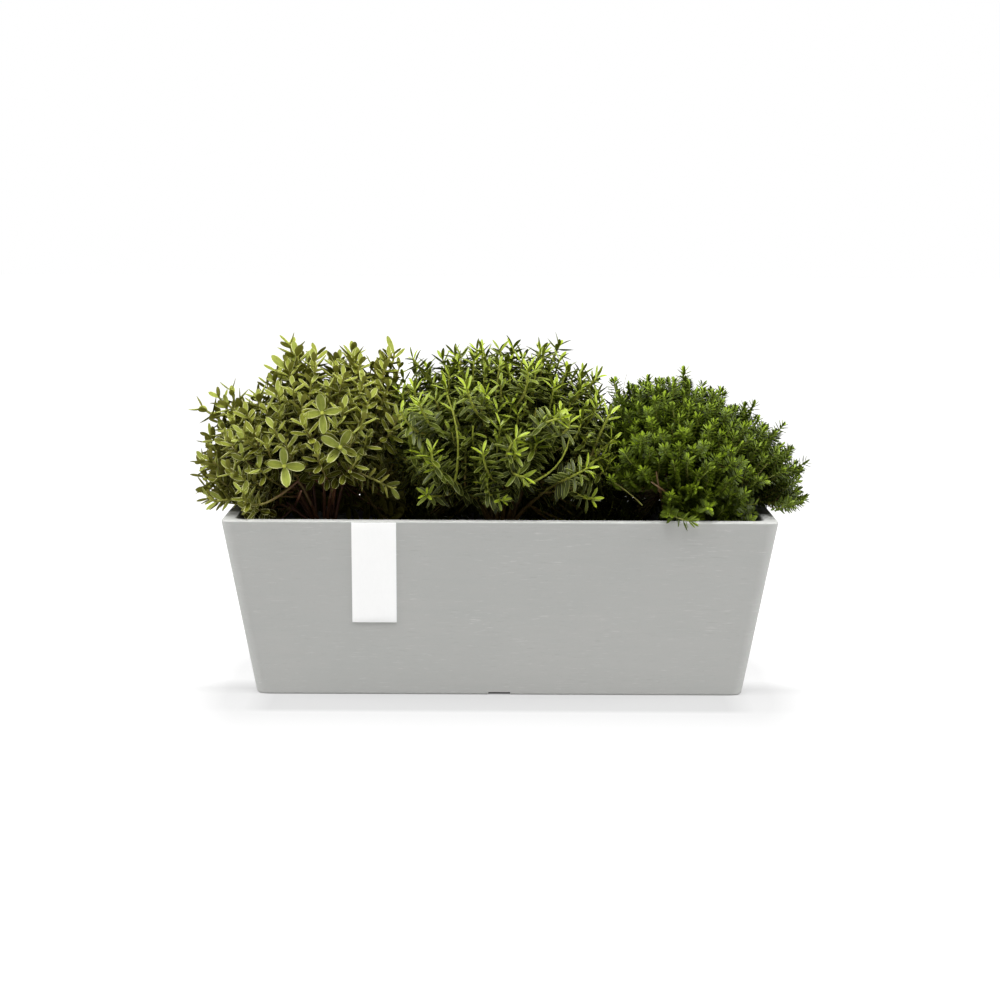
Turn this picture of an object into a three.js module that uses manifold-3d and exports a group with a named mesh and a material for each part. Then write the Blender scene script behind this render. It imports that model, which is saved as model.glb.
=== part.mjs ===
// A tapered rectangular plant trough, planted with three small evergreen shrubs.
//
// Millimetres, +Z up. The origin is at the middle of the trough's foot, on the ground. X runs
// along the trough and -Y is its front, where a card label hangs over the rim.
//
// The trough is one moulding: four drafted walls with rounded corners, a floor with two drain
// holes, and a foot rim with a drain notch at the middle of each long side. Rubber stoppers close
// the drain holes from below. Potting soil fills the trough, and each shrub sits in it by its own
// root ball: its woody stems stand in the root ball, and each leafy shoot grows on from a stem.

import * as THREE from "three";
import { mergeVertices } from "three/addons/utils/BufferGeometryUtils.js";
import Module from "manifold-3d";

const wasm = await Module();
wasm.setup();

// Clearance between pieces that touch
const SEAT_GAP = 0.3;

// How far a cutting shape runs past the face that it cuts
const CUT_OVERRUN = 2;

// Trough
const TROUGH_HEIGHT = 178;
const TOP_LENGTH = 550;
const TOP_WIDTH = 175;
const END_DRAFT = 32; // how far each end wall comes in from rim to foot
const SIDE_DRAFT = 26; // how far each long wall comes in from rim to foot
const CORNER_RADIUS = 12;
const INNER_CORNER_RADIUS = 8;
const CORNER_STEPS = 5;
const RIM_WALL = 14; // wall thickness at the rim
const BASE_WALL = 10; // wall thickness at the floor
const FLOOR_THICKNESS = 8;
const INNER_FILLET = 6;
const EDGE_RADIUS = 2; // small rounding on the rim and the foot
const FOOT_HEIGHT = 3.5;
const FOOT_WIDTH = 12;
const RECESS_CORNER_RADIUS = 6; // inside corners of the foot rim
const FOOT_PAD_RADIUS = 17; // round pad under the middle of the floor
const FOOT_PAD_SIDES = 20;
const NOTCH_LENGTH = 22;
const NOTCH_HEIGHT = 2.6;

// Drain holes and their stoppers
const DRAIN_RADIUS = 10;
const DRAIN_SPACING = 260;
const STOPPER_SIDES = 16;
const STOPPER_FLANGE_RADIUS = 15;
const STOPPER_FLANGE_THICKNESS = 2;
const STOPPER_HOLLOW_RADIUS = 6;
const STOPPER_HOLLOW_DEPTH = 6;
const STOPPER_CHAMFER = 1;

// Card label folded over the front rim
const LABEL_WIDTH = 44;
const LABEL_LENGTH = 104; // down the front, from the fold
const LABEL_TUCK = 15; // down the inside
const LABEL_THICKNESS = 0.8;
const LABEL_CENTRE_X = -124;
const LABEL_STANDOFF = 0.8; // the short end stands a little off the inside of the wall

// Soil and root balls
const SOIL_BELOW_RIM = 24;
const SOIL_MOUND = 3; // how much higher the soil stands away from the walls
const SOIL_WALL_GAP = 2; // dry soil shrinks from the wall at its top
const SOIL_RING_INSET = 16;
const ROOT_SPACING = 178;
const ROOT_TOP_RADIUS = 52;
const ROOT_BASE_RADIUS = 41;
const ROOT_DEPTH = 88;
const ROOT_SIDES = 14;
const ROOT_EDGE = 4;

// Woody stems
const COLLAR_RADIUS = 12;
const COLLAR_DEPTH = 8;
const COLLAR_HEIGHT = 3;
const COLLAR_SIDES = 10;
const STEM_SPREAD = 8; // how far from the middle of the collar the stems start
const STEM_SIDES = 4;
const STEM_SEGMENTS = 2;
const SHOOT_SEGMENTS = 3;

// A shoot leans out along its line: its bend lies this share of the way to its tip, and at least
// this high over the rim, so that a low shoot climbs before it leans over the wall.
const BEND_REACH = 0.35;
const BEND_RISE = 0.62;
const BEND_OVER_RIM = 22;

// Leaves stand in crossed pairs, nearly level low down and closing up at the tip.
const LEAF_LIFT = 18;
const TIP_LIFT = 62;
const LEAF_BELLY = 0.55; // where along a leaf it is widest
const LEAF_CLEARANCE = 0.5;

// Room kept free of leaves
const SHRUB_GAP = 1; // between one shrub's ground and the next
const WATERING_SPACE = 15; // width along each long wall, between the soil and the rim
const LABEL_ROOM = 1; // beside the label, on its way up

// Shrubs. A shoot's tip is given from the root ball's axis and the rim: right, back, up.
const SHRUBS = [
  {
    name: "left",
    rootX: -ROOT_SPACING,
    baseRadius: 2.6,
    tipRadius: 1.1,
    woodShare: 0.34,
    leafLength: 27,
    leafWidth: 14,
    leafFold: 2,
    pairPitch: 12.5,
    woodColour: 0x6b4a2c,
    leafColour: 0x8a9a56,
    tips: [
      [-33, 5, 160],
      [26, 12, 152],
      [64, -4, 152],
      [-65, 22, 124],
      [-90, -10, 112],
      [-118, 10, 98],
      [5, -70, 100],
      [-34, -76, 52],
      [16, -78, 54],
      [-70, -58, 74],
      [-120, -14, 48],
      [-106, -38, 12],
      [-60, 70, 88],
      [24, 74, 112],
    ],
  },
  {
    name: "middle",
    rootX: 0,
    baseRadius: 2.3,
    tipRadius: 1,
    woodShare: 0.32,
    leafLength: 26,
    leafWidth: 9,
    leafFold: 2,
    pairPitch: 11.5,
    woodColour: 0x6d5a2c,
    leafColour: 0x4c7a22,
    tips: [
      [-84, 0, 148],
      [-44, 24, 150],
      [-18, -6, 155],
      [12, 22, 157],
      [38, -6, 156],
      [64, 18, 160],
      [92, 0, 130],
      [-76, -62, 106],
      [-14, -66, 118],
      [50, -74, 98],
      [14, -84, 64],
      [-60, -80, 50],
      [94, -60, 58],
      [-46, 72, 112],
      [44, 74, 118],
    ],
  },
  {
    name: "right",
    rootX: ROOT_SPACING,
    baseRadius: 2.3,
    tipRadius: 1,
    woodShare: 0.32,
    leafLength: 20,
    leafWidth: 10,
    leafFold: 1.8,
    pairPitch: 10.5,
    woodColour: 0x5d4a26,
    leafColour: 0x3f6a1c,
    tips: [
      [8, 0, 130],
      [-44, 8, 120],
      [-20, -20, 122],
      [35, 12, 112],
      [67, 0, 94],
      [97, 8, 72],
      [122, -2, 42],
      [112, -24, 10],
      [-42, -70, 72],
      [0, -72, 86],
      [44, -70, 68],
      [80, -60, 38],
      [14, -88, 34],
      [-12, -94, 6],
      [-34, 68, 84],
      [30, 72, 82],
    ],
  },
];

// Derived places
const RIM = TROUGH_HEIGHT;
const FLOOR_TOP = FOOT_HEIGHT + FLOOR_THICKNESS;
const SOIL_TOP = RIM - SOIL_BELOW_RIM;
const ROOT_TOP = SOIL_TOP + SOIL_MOUND;

// Half length and half width of the outside at height z.
function outerHalf(z) {
  const rise = z / TROUGH_HEIGHT;
  return [
    TOP_LENGTH / 2 - END_DRAFT * (1 - rise),
    TOP_WIDTH / 2 - SIDE_DRAFT * (1 - rise),
  ];
}

// Half length and half width of the inside at height z.
function innerHalf(z) {
  const rise = (z - FLOOR_TOP) / (TROUGH_HEIGHT - FLOOR_TOP);
  const wall = BASE_WALL + (RIM_WALL - BASE_WALL) * rise;
  return outerHalf(z).map((half) => half - wall);
}

// One ring of a rectangle with round corners, anticlockwise seen from above.
function roundedRing([halfX, halfY], radius, z) {
  const ring = [];
  const corners = [
    [1, 1],
    [-1, 1],
    [-1, -1],
    [1, -1],
  ];
  corners.forEach(([sx, sy], quarter) => {
    for (let i = 0; i <= CORNER_STEPS; i++) {
      const angle = (Math.PI / 2) * (quarter + i / CORNER_STEPS);
      ring.push(
        new THREE.Vector3(
          sx * (halfX - radius) + radius * Math.cos(angle),
          sy * (halfY - radius) + radius * Math.sin(angle),
          z,
        ),
      );
    }
  });
  return ring;
}

// A closed skin over rings of equal count: the first ring's cap faces back, the last one's forward.
function loft(rings) {
  const count = rings[0].length;
  const positions = rings.flat().flatMap((p) => [p.x, p.y, p.z]);
  const faces = [];
  for (let r = 0; r + 1 < rings.length; r++) {
    for (let i = 0; i < count; i++) {
      const a = r * count + i;
      const b = r * count + ((i + 1) % count);
      faces.push(a, b, b + count, a, b + count, a + count);
    }
  }
  const last = (rings.length - 1) * count;
  for (let i = 1; i + 1 < count; i++) {
    faces.push(0, i + 1, i);
    faces.push(last, last + i, last + i + 1);
  }
  const geometry = new THREE.BufferGeometry();
  geometry.setAttribute("position", new THREE.Float32BufferAttribute(positions, 3));
  geometry.setIndex(faces);
  return geometry;
}

function solidOf(geometry) {
  const bare = geometry.clone();
  bare.deleteAttribute("normal");
  bare.deleteAttribute("uv");
  const merged = mergeVertices(bare, 1e-4);
  return new wasm.Manifold(
    new wasm.Mesh({
      numProp: 3,
      vertProperties: new Float32Array(merged.attributes.position.array),
      triVerts: new Uint32Array(merged.index.array),
    }),
  );
}

function geometryOf(solid) {
  const mesh = solid.getMesh();
  const geometry = new THREE.BufferGeometry();
  geometry.setAttribute("position", new THREE.BufferAttribute(mesh.vertProperties, 3));
  geometry.setIndex(new THREE.BufferAttribute(mesh.triVerts, 1));
  return geometry;
}

// An upright cylinder or cone frustum.
function uprightCylinder(topRadius, baseRadius, bottom, top, sides, [x, y]) {
  const geometry = new THREE.CylinderGeometry(topRadius, baseRadius, top - bottom, sides);
  geometry.rotateX(Math.PI / 2);
  geometry.translate(x, y, (bottom + top) / 2);
  return solidOf(geometry);
}

const drainPlaces = [-DRAIN_SPACING / 2, DRAIN_SPACING / 2].map((x) => [x, 0]);

// Trough moulding: foot recess, foot, outside, rim and inside as one skin, then the pad under the
// middle of the floor and the cut-outs.
function makeTrough() {
  const foot = outerHalf(0);
  const recess = foot.map((half) => half - FOOT_WIDTH);
  const recessRadius = RECESS_CORNER_RADIUS;
  const innerRadius = INNER_CORNER_RADIUS;
  const bite = EDGE_RADIUS * (1 - Math.SQRT1_2); // a 45 degree point of an edge's rounding
  const inset = (half, by) => half.map((value) => value - by);
  const skin = loft([
    roundedRing(recess, recessRadius, FOOT_HEIGHT),
    roundedRing(recess, recessRadius, 0),
    roundedRing(inset(foot, EDGE_RADIUS), CORNER_RADIUS - EDGE_RADIUS, 0),
    roundedRing(inset(foot, bite), CORNER_RADIUS - bite, bite),
    roundedRing(outerHalf(EDGE_RADIUS), CORNER_RADIUS, EDGE_RADIUS),
    roundedRing(outerHalf(RIM - EDGE_RADIUS), CORNER_RADIUS, RIM - EDGE_RADIUS),
    roundedRing(inset(outerHalf(RIM), bite), CORNER_RADIUS - bite, RIM - bite),
    roundedRing(inset(outerHalf(RIM), EDGE_RADIUS), CORNER_RADIUS - EDGE_RADIUS, RIM),
    roundedRing(inset(innerHalf(RIM), -EDGE_RADIUS), innerRadius + EDGE_RADIUS, RIM),
    roundedRing(innerHalf(RIM - EDGE_RADIUS), innerRadius, RIM - EDGE_RADIUS),
    roundedRing(innerHalf(FLOOR_TOP + INNER_FILLET), innerRadius, FLOOR_TOP + INNER_FILLET),
    roundedRing(inset(innerHalf(FLOOR_TOP), INNER_FILLET), innerRadius / 2, FLOOR_TOP),
  ]);
  const padTop = FOOT_HEIGHT + FLOOR_THICKNESS / 2;
  let trough = solidOf(skin).add(
    uprightCylinder(FOOT_PAD_RADIUS, FOOT_PAD_RADIUS, 0, padTop, FOOT_PAD_SIDES, [0, 0]),
  );
  for (const place of drainPlaces) {
    trough = trough.subtract(
      uprightCylinder(DRAIN_RADIUS, DRAIN_RADIUS, 0, FLOOR_TOP + CUT_OVERRUN, STOPPER_SIDES, place),
    );
  }
  for (const side of [-1, 1]) {
    const notchDepth = 2 * (FOOT_WIDTH + CUT_OVERRUN);
    const notch = new THREE.BoxGeometry(NOTCH_LENGTH, notchDepth, 2 * NOTCH_HEIGHT);
    notch.translate(0, side * foot[1], 0);
    trough = trough.subtract(solidOf(notch));
  }
  return trough;
}

// Stopper: a flange under the floor and a hollow shank up the drain hole.
function makeStopper([x, y]) {
  const shank = DRAIN_RADIUS - SEAT_GAP;
  const flangeTop = FOOT_HEIGHT - SEAT_GAP;
  const flangeBottom = flangeTop - STOPPER_FLANGE_THICKNESS;
  const profile = [
    [0, flangeBottom + STOPPER_HOLLOW_DEPTH],
    [STOPPER_HOLLOW_RADIUS, flangeBottom + STOPPER_HOLLOW_DEPTH],
    [STOPPER_HOLLOW_RADIUS, flangeBottom],
    [STOPPER_FLANGE_RADIUS, flangeBottom],
    [STOPPER_FLANGE_RADIUS, flangeTop],
    [shank, flangeTop],
    [shank, FLOOR_TOP - STOPPER_CHAMFER],
    [shank - STOPPER_CHAMFER, FLOOR_TOP],
    [0, FLOOR_TOP],
  ].map(([r, z]) => new THREE.Vector2(r, z));
  const stopper = new THREE.LatheGeometry(profile, STOPPER_SIDES);
  stopper.rotateX(Math.PI / 2);
  stopper.translate(x, y, 0);
  return solidOf(stopper);
}

// Label: a strip of card folded over the front rim, lying along the wall on both sides.
function makeLabel() {
  const frontY = (z) => -outerHalf(z)[1];
  const insideY = (z) => -innerHalf(z)[1];
  const frontEnd = RIM - LABEL_LENGTH;
  const tuckEnd = RIM - LABEL_TUCK;
  const near = SEAT_GAP;
  const far = SEAT_GAP + LABEL_THICKNESS;
  const standoff = LABEL_STANDOFF;
  const outline = new THREE.Shape(
    [
      [frontY(frontEnd) - near, frontEnd],
      [frontY(frontEnd) - far, frontEnd],
      [frontY(RIM) - far, RIM + near],
      [frontY(RIM) - near, RIM + far],
      [insideY(RIM) + standoff, RIM + far],
      [insideY(RIM) + standoff + LABEL_THICKNESS, RIM + near],
      [insideY(tuckEnd) + standoff + LABEL_THICKNESS, tuckEnd],
      [insideY(tuckEnd) + standoff, tuckEnd],
      [insideY(RIM) + standoff, RIM + near],
      [frontY(RIM) - near, RIM + near],
    ].map(([y, z]) => new THREE.Vector2(y, z)),
  );
  const label = new THREE.ExtrudeGeometry(outline, { depth: LABEL_WIDTH, bevelEnabled: false });
  label.applyMatrix4(new THREE.Matrix4().set(0, 0, 1, 0, 1, 0, 0, 0, 0, 1, 0, 0, 0, 0, 0, 1));
  label.translate(LABEL_CENTRE_X - LABEL_WIDTH / 2, 0, 0);
  return solidOf(label);
}

// Root ball of a shrub, grown in a round nursery pot, with a socket for the stems' collar.
function makeRootBall(rootX, grow) {
  const bottom = ROOT_TOP - ROOT_DEPTH;
  const radius = (share) => ROOT_BASE_RADIUS + (ROOT_TOP_RADIUS - ROOT_BASE_RADIUS) * share;
  const profile = [
    [0, bottom - grow],
    [radius(0) - ROOT_EDGE + grow, bottom - grow],
    [radius(0) + grow, bottom + ROOT_EDGE],
    [radius(1) + grow, ROOT_TOP - ROOT_EDGE],
    [radius(1) - ROOT_EDGE + grow, ROOT_TOP + grow],
    [0, ROOT_TOP + grow],
  ].map(([r, z]) => new THREE.Vector2(r, z));
  const ball = new THREE.LatheGeometry(profile, ROOT_SIDES);
  ball.rotateX(Math.PI / 2);
  ball.translate(rootX, 0, 0);
  return solidOf(ball);
}

function makeSoil() {
  const top = innerHalf(SOIL_TOP).map((half) => half - SOIL_WALL_GAP);
  const base = innerHalf(FLOOR_TOP).map((half) => half - INNER_FILLET - SEAT_GAP);
  const shoulder = innerHalf(FLOOR_TOP + INNER_FILLET).map((half) => half - 2 * SEAT_GAP);
  const radius = INNER_CORNER_RADIUS;
  let soil = solidOf(
    loft([
      roundedRing(base, radius / 2, FLOOR_TOP + SEAT_GAP),
      roundedRing(shoulder, radius, FLOOR_TOP + INNER_FILLET + SEAT_GAP),
      roundedRing(top, radius, SOIL_TOP),
      roundedRing(top.map((half) => half - SOIL_RING_INSET), radius, ROOT_TOP),
    ]),
  );
  for (const shrub of SHRUBS) {
    const pocket = makeRootBall(shrub.rootX, SEAT_GAP);
    const shaft = uprightCylinder(
      ROOT_TOP_RADIUS + SEAT_GAP,
      ROOT_TOP_RADIUS + SEAT_GAP,
      ROOT_TOP - ROOT_EDGE,
      ROOT_TOP + CUT_OVERRUN,
      ROOT_SIDES,
      [shrub.rootX, 0],
    );
    soil = soil.subtract(pocket).subtract(shaft);
  }
  return soil;
}

// The line of a shoot and the stem under it, from the collar to the tip. It lies in one upright
// plane, and normal is that plane's.
function shootCurve(shrub, [right, back, up]) {
  const heading = new THREE.Vector3(right, back, 0).normalize();
  const root = new THREE.Vector3(shrub.rootX, 0, ROOT_TOP);
  const base = root.clone().addScaledVector(heading, STEM_SPREAD);
  const tip = new THREE.Vector3(shrub.rootX + right, back, RIM + up);
  const bend = base.clone().lerp(tip, BEND_REACH);
  bend.z = Math.max(base.z + BEND_RISE * (tip.z - base.z), RIM + BEND_OVER_RIM);
  const curve = new THREE.QuadraticBezierCurve3(base, bend, tip);
  curve.normal = new THREE.Vector3(-heading.y, heading.x, 0);
  return curve;
}

// Point, tangent and the two directions square to it at a place along a shoot's line.
function frameAt(curve, t) {
  const tangent = curve.getTangent(t);
  const along = curve.normal.clone().cross(tangent);
  return { centre: curve.getPoint(t), tangent, across: curve.normal, along };
}

// A tapered tube along part of a curve, closed at both ends.
function taperedTube(curve, [from, to], [fromRadius, toRadius], segments) {
  const rings = [];
  for (let s = 0; s <= segments; s++) {
    const share = s / segments;
    const { centre, across, along } = frameAt(curve, from + (to - from) * share);
    const radius = fromRadius + (toRadius - fromRadius) * share;
    const ring = [];
    for (let i = 0; i < STEM_SIDES; i++) {
      const angle = (2 * Math.PI * i) / STEM_SIDES;
      ring.push(
        centre
          .clone()
          .addScaledVector(along, radius * Math.cos(angle))
          .addScaledVector(across, radius * Math.sin(angle)),
      );
    }
    rings.push(ring);
  }
  return solidOf(loft(rings));
}

// One leaf: a keeled blade with its foot in the stem, made of four faces.
function leaf(foot, direction, across, length, width, fold) {
  const tip = foot.clone().addScaledVector(direction, length);
  const belly = foot.clone().addScaledVector(direction, LEAF_BELLY * length);
  const upper = across.clone().cross(direction);
  const edge = (side) =>
    belly
      .clone()
      .addScaledVector(across, (side * width) / 2)
      .addScaledVector(upper, fold);
  const points = [foot, tip, edge(1), edge(-1)];
  const geometry = new THREE.BufferGeometry();
  const positions = points.flatMap((p) => [p.x, p.y, p.z]);
  geometry.setAttribute("position", new THREE.Float32BufferAttribute(positions, 3));
  geometry.setIndex([0, 1, 2, 0, 3, 1, 1, 3, 2, 0, 2, 3]);
  return solidOf(geometry);
}

// Where a shoot's leaves stand, pair by pair, each pair a quarter turn on from the one below.
function leafPlaces(shrub, curve) {
  const start = shrub.woodShare;
  const leafy = curve.getLength() * (1 - start);
  const pairs = Math.floor(leafy / shrub.pairPitch);
  const places = [];
  for (let k = 1; k <= pairs; k++) {
    const share = k / pairs;
    const { centre, tangent, across, along } = frameAt(curve, start + (1 - start) * share);
    const foot = centre.clone().addScaledVector(tangent, -shrub.tipRadius);
    const lift = THREE.MathUtils.degToRad(LEAF_LIFT + (TIP_LIFT - LEAF_LIFT) * share * share);
    for (const side of [0, 1]) {
      const turn = (k * Math.PI) / 2 + side * Math.PI + Math.PI / 4;
      const outward = along
        .clone()
        .multiplyScalar(Math.cos(turn))
        .addScaledVector(across, Math.sin(turn));
      const direction = outward
        .clone()
        .multiplyScalar(Math.cos(lift))
        .addScaledVector(tangent, Math.sin(lift));
      places.push({ foot, direction, across: outward.cross(tangent) });
    }
  }
  return places;
}

function boxesMeet(a, b) {
  return [0, 1, 2].every((k) => a.min[k] <= b.max[k] && b.min[k] <= a.max[k]);
}

function meets(solid, others) {
  const box = solid.boundingBox();
  return others.some(
    (other) => boxesMeet(box, other.box) && !solid.intersect(other.solid).isEmpty(),
  );
}

const withBox = (solid) => ({ solid, box: solid.boundingBox() });

// Spaces that no shoot may enter: the next shrub's ground, the label's way up, the watering space.
function keptFree(index) {
  const box = (low, high) => {
    const size = high.map((value, k) => value - low[k]);
    const geometry = new THREE.BoxGeometry(...size);
    geometry.translate(...low.map((value, k) => value + size[k] / 2));
    return withBox(solidOf(geometry));
  };
  const far = 2 * TOP_LENGTH;
  const deep = TOP_WIDTH;
  const high = RIM + far;
  const free = [];
  const [, insideHalf] = innerHalf(RIM);
  const [, soilHalf] = innerHalf(SOIL_TOP);
  const border = (a, b) => shrubBorder(SHRUBS[a], SHRUBS[b]);
  if (index > 0) {
    free.push(box([-far, -deep, 0], [border(index - 1, index) + SHRUB_GAP / 2, deep, high]));
  }
  if (index + 1 < SHRUBS.length) {
    free.push(box([border(index, index + 1) - SHRUB_GAP / 2, -deep, 0], [far, deep, high]));
  }
  const labelHalf = LABEL_WIDTH / 2 + LABEL_ROOM;
  const labelBack = -(insideHalf - LABEL_STANDOFF - LABEL_THICKNESS - LABEL_ROOM);
  const labelTop = RIM + LABEL_LENGTH + LABEL_TUCK;
  free.push(
    box(
      [LABEL_CENTRE_X - labelHalf, -deep, SOIL_TOP],
      [LABEL_CENTRE_X + labelHalf, labelBack, labelTop],
    ),
  );
  for (const side of [-1, 1]) {
    const y = [side * soilHalf, side * (soilHalf - WATERING_SPACE)].sort((a, b) => a - b);
    free.push(box([-TOP_LENGTH / 2, y[0], SOIL_TOP], [TOP_LENGTH / 2, y[1], RIM]));
  }
  return free;
}

// Where one shrub's ground ends and the next one's begins: midway between the leaf tips nearest
// to each other on the two sides.
function shrubBorder(first, second) {
  const rightmost = first.rootX + Math.max(...first.tips.map((tip) => tip[0]));
  const leftmost = second.rootX + Math.min(...second.tips.map((tip) => tip[0]));
  return (rightmost + leftmost) / 2;
}

// Woody part of a shrub: a collar in the root ball and the lower part of every stem.
function makeStems(shrub) {
  const collar = uprightCylinder(
    COLLAR_RADIUS,
    COLLAR_RADIUS,
    ROOT_TOP - COLLAR_DEPTH,
    ROOT_TOP + COLLAR_HEIGHT,
    COLLAR_SIDES,
    [shrub.rootX, 0],
  );
  const stems = shrub.tips.map((tip) => {
    const radii = [shrub.baseRadius, stemRadius(shrub, shrub.woodShare)];
    return taperedTube(shootCurve(shrub, tip), [0, shrub.woodShare], radii, STEM_SEGMENTS);
  });
  return wasm.Manifold.union([collar, ...stems]);
}

function stemRadius(shrub, t) {
  return shrub.baseRadius + (shrub.tipRadius - shrub.baseRadius) * t;
}

// The bare line of a shoot, from just past the end of its stem.
function makeShootLine(shrub, tip) {
  const curve = shootCurve(shrub, tip);
  const from = shrub.woodShare + SEAT_GAP / curve.getLength();
  const radii = [stemRadius(shrub, from), shrub.tipRadius];
  return taperedTube(curve, [from, 1], radii, SHOOT_SEGMENTS);
}

// A shoot with each leaf that clears everything already there.
function growShoot(shrub, tip, line, occupied) {
  const curve = shootCurve(shrub, tip);
  const leaves = [];
  for (const { foot, direction, across } of leafPlaces(shrub, curve)) {
    const { leafLength, leafWidth, leafFold } = shrub;
    const room = leaf(
      foot.clone().addScaledVector(direction, shrub.baseRadius),
      direction,
      across,
      leafLength - shrub.baseRadius + LEAF_CLEARANCE,
      leafWidth + 2 * LEAF_CLEARANCE,
      leafFold + LEAF_CLEARANCE,
    );
    if (!meets(room, occupied)) {
      leaves.push(leaf(foot, direction, across, leafLength, leafWidth, leafFold));
    }
  }
  return wasm.Manifold.union([line, ...leaves]);
}

// Assembly
const root = new THREE.Group();
const fixed = [];

function add(name, solid, colour, roughness, metalness = 0) {
  const material = new THREE.MeshStandardMaterial({ color: colour, roughness, metalness });
  const mesh = new THREE.Mesh(geometryOf(solid), material);
  mesh.name = name;
  root.add(mesh);
  fixed.push(withBox(solid));
}

add("trough", makeTrough(), 0xb0b0ad, 0.75);
drainPlaces.forEach((place, i) => {
  add(["drain_stopper_left", "drain_stopper_right"][i], makeStopper(place), 0x2a2a2a, 0.6);
});
add("card_label", makeLabel(), 0xf8f8f8, 0.8);
add("potting_soil", makeSoil(), 0x2b1d12, 0.95);

for (const shrub of SHRUBS) {
  const socket = uprightCylinder(
    COLLAR_RADIUS + SEAT_GAP,
    COLLAR_RADIUS + SEAT_GAP,
    ROOT_TOP - COLLAR_DEPTH - SEAT_GAP,
    ROOT_TOP + CUT_OVERRUN,
    COLLAR_SIDES,
    [shrub.rootX, 0],
  );
  const ball = makeRootBall(shrub.rootX, 0).subtract(socket);
  add(`${shrub.name}_root_ball`, ball, 0x3a2717, 0.95);
  add(`${shrub.name}_stems`, makeStems(shrub), shrub.woodColour, 0.8);
}

const lines = SHRUBS.map((shrub) => shrub.tips.map((tip) => makeShootLine(shrub, tip)));
const grown = [];
SHRUBS.forEach((shrub, s) => {
  const free = keptFree(s);
  shrub.tips.forEach((tip, k) => {
    const otherLines = lines.flatMap((row, i) =>
      row.filter((line, j) => i !== s || j !== k).map(withBox),
    );
    const occupied = [...fixed, ...free, ...otherLines, ...grown];
    const shoot = growShoot(shrub, tip, lines[s][k], occupied);
    grown.push(withBox(shoot));
    const label = String(k + 1).padStart(2, "0");
    const material = new THREE.MeshStandardMaterial({
      color: shrub.leafColour,
      roughness: 0.6,
    });
    const mesh = new THREE.Mesh(geometryOf(shoot), material);
    mesh.name = `${shrub.name}_shoot_${label}`;
    root.add(mesh);
  });
});

export default root;
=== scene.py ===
"""Looks of a planted trough: a grey plastic trough with three small evergreen shrubs.

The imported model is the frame. The trough, its stoppers, its card label, the soil, the root balls,
the woody stems and every leafy shoot are modelled here as fine meshes, and each rides on the body
of the node that it stands for. Lengths are in metres, and the frame's axes are the model's: +X
runs along the trough, -Y is its front and +Z is up, from the ground.
"""

from __future__ import annotations

import logging
import math
from collections.abc import Callable, Iterable, Sequence
from dataclasses import dataclass, field, replace
from enum import Enum

import bmesh
import bpy
import numpy as np
from mathutils import Matrix, Vector

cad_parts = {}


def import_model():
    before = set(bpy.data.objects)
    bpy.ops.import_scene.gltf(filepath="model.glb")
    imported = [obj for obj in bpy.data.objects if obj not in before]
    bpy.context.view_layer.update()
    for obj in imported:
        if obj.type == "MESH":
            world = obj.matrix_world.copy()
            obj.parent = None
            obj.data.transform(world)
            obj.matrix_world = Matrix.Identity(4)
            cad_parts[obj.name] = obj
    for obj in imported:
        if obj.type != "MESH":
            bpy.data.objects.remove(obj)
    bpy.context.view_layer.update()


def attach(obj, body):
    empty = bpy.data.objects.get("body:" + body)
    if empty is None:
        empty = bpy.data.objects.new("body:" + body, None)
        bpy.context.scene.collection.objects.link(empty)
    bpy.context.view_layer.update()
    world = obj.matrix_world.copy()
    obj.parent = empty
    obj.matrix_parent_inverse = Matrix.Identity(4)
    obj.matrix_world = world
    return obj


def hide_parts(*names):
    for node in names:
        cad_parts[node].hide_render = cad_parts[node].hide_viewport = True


LOG = logging.getLogger("planted_trough")

MM = 0.001

Piece = bpy.types.Object
Material = bpy.types.Material
Socket = bpy.types.NodeSocket
Pair = tuple[float, float]
Place = tuple[float, float, float]
Colour = tuple[float, float, float]

# By these, edges and faces are picked: slack in a place, least share of a normal along an axis,
# and least angle in radians at a sharp edge.
NEAR = 0.2 * MM
FACING = 0.9
SHARP = 0.5


def srgb(*levels: int) -> Colour:
    """Turn a colour read from 0 to 255 into the linear values that a shader takes.

    Args:
        levels: Red, green and blue, 0 to 255.

    Returns:
        The three linear values.
    """

    def linear(share: float) -> float:
        """One linear value."""
        return share / 12.92 if share <= 0.04045 else ((share + 0.055) / 1.055) ** 2.4

    return tuple(linear(level / 255) for level in levels)


class Slot(Enum):
    """Material slots of the record."""

    TROUGH = "trough_plastic"
    STOPPER = "stopper_rubber"
    LABEL = "label_card"
    SOIL = "soil"
    ROOT_BALL = "root_ball"
    LEFT_BARK = "left_bark"
    MIDDLE_BARK = "middle_bark"
    RIGHT_BARK = "right_bark"
    LEFT_LEAVES = "left_leaves"
    MIDDLE_LEAVES = "middle_leaves"
    RIGHT_LEAVES = "right_leaves"


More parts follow.
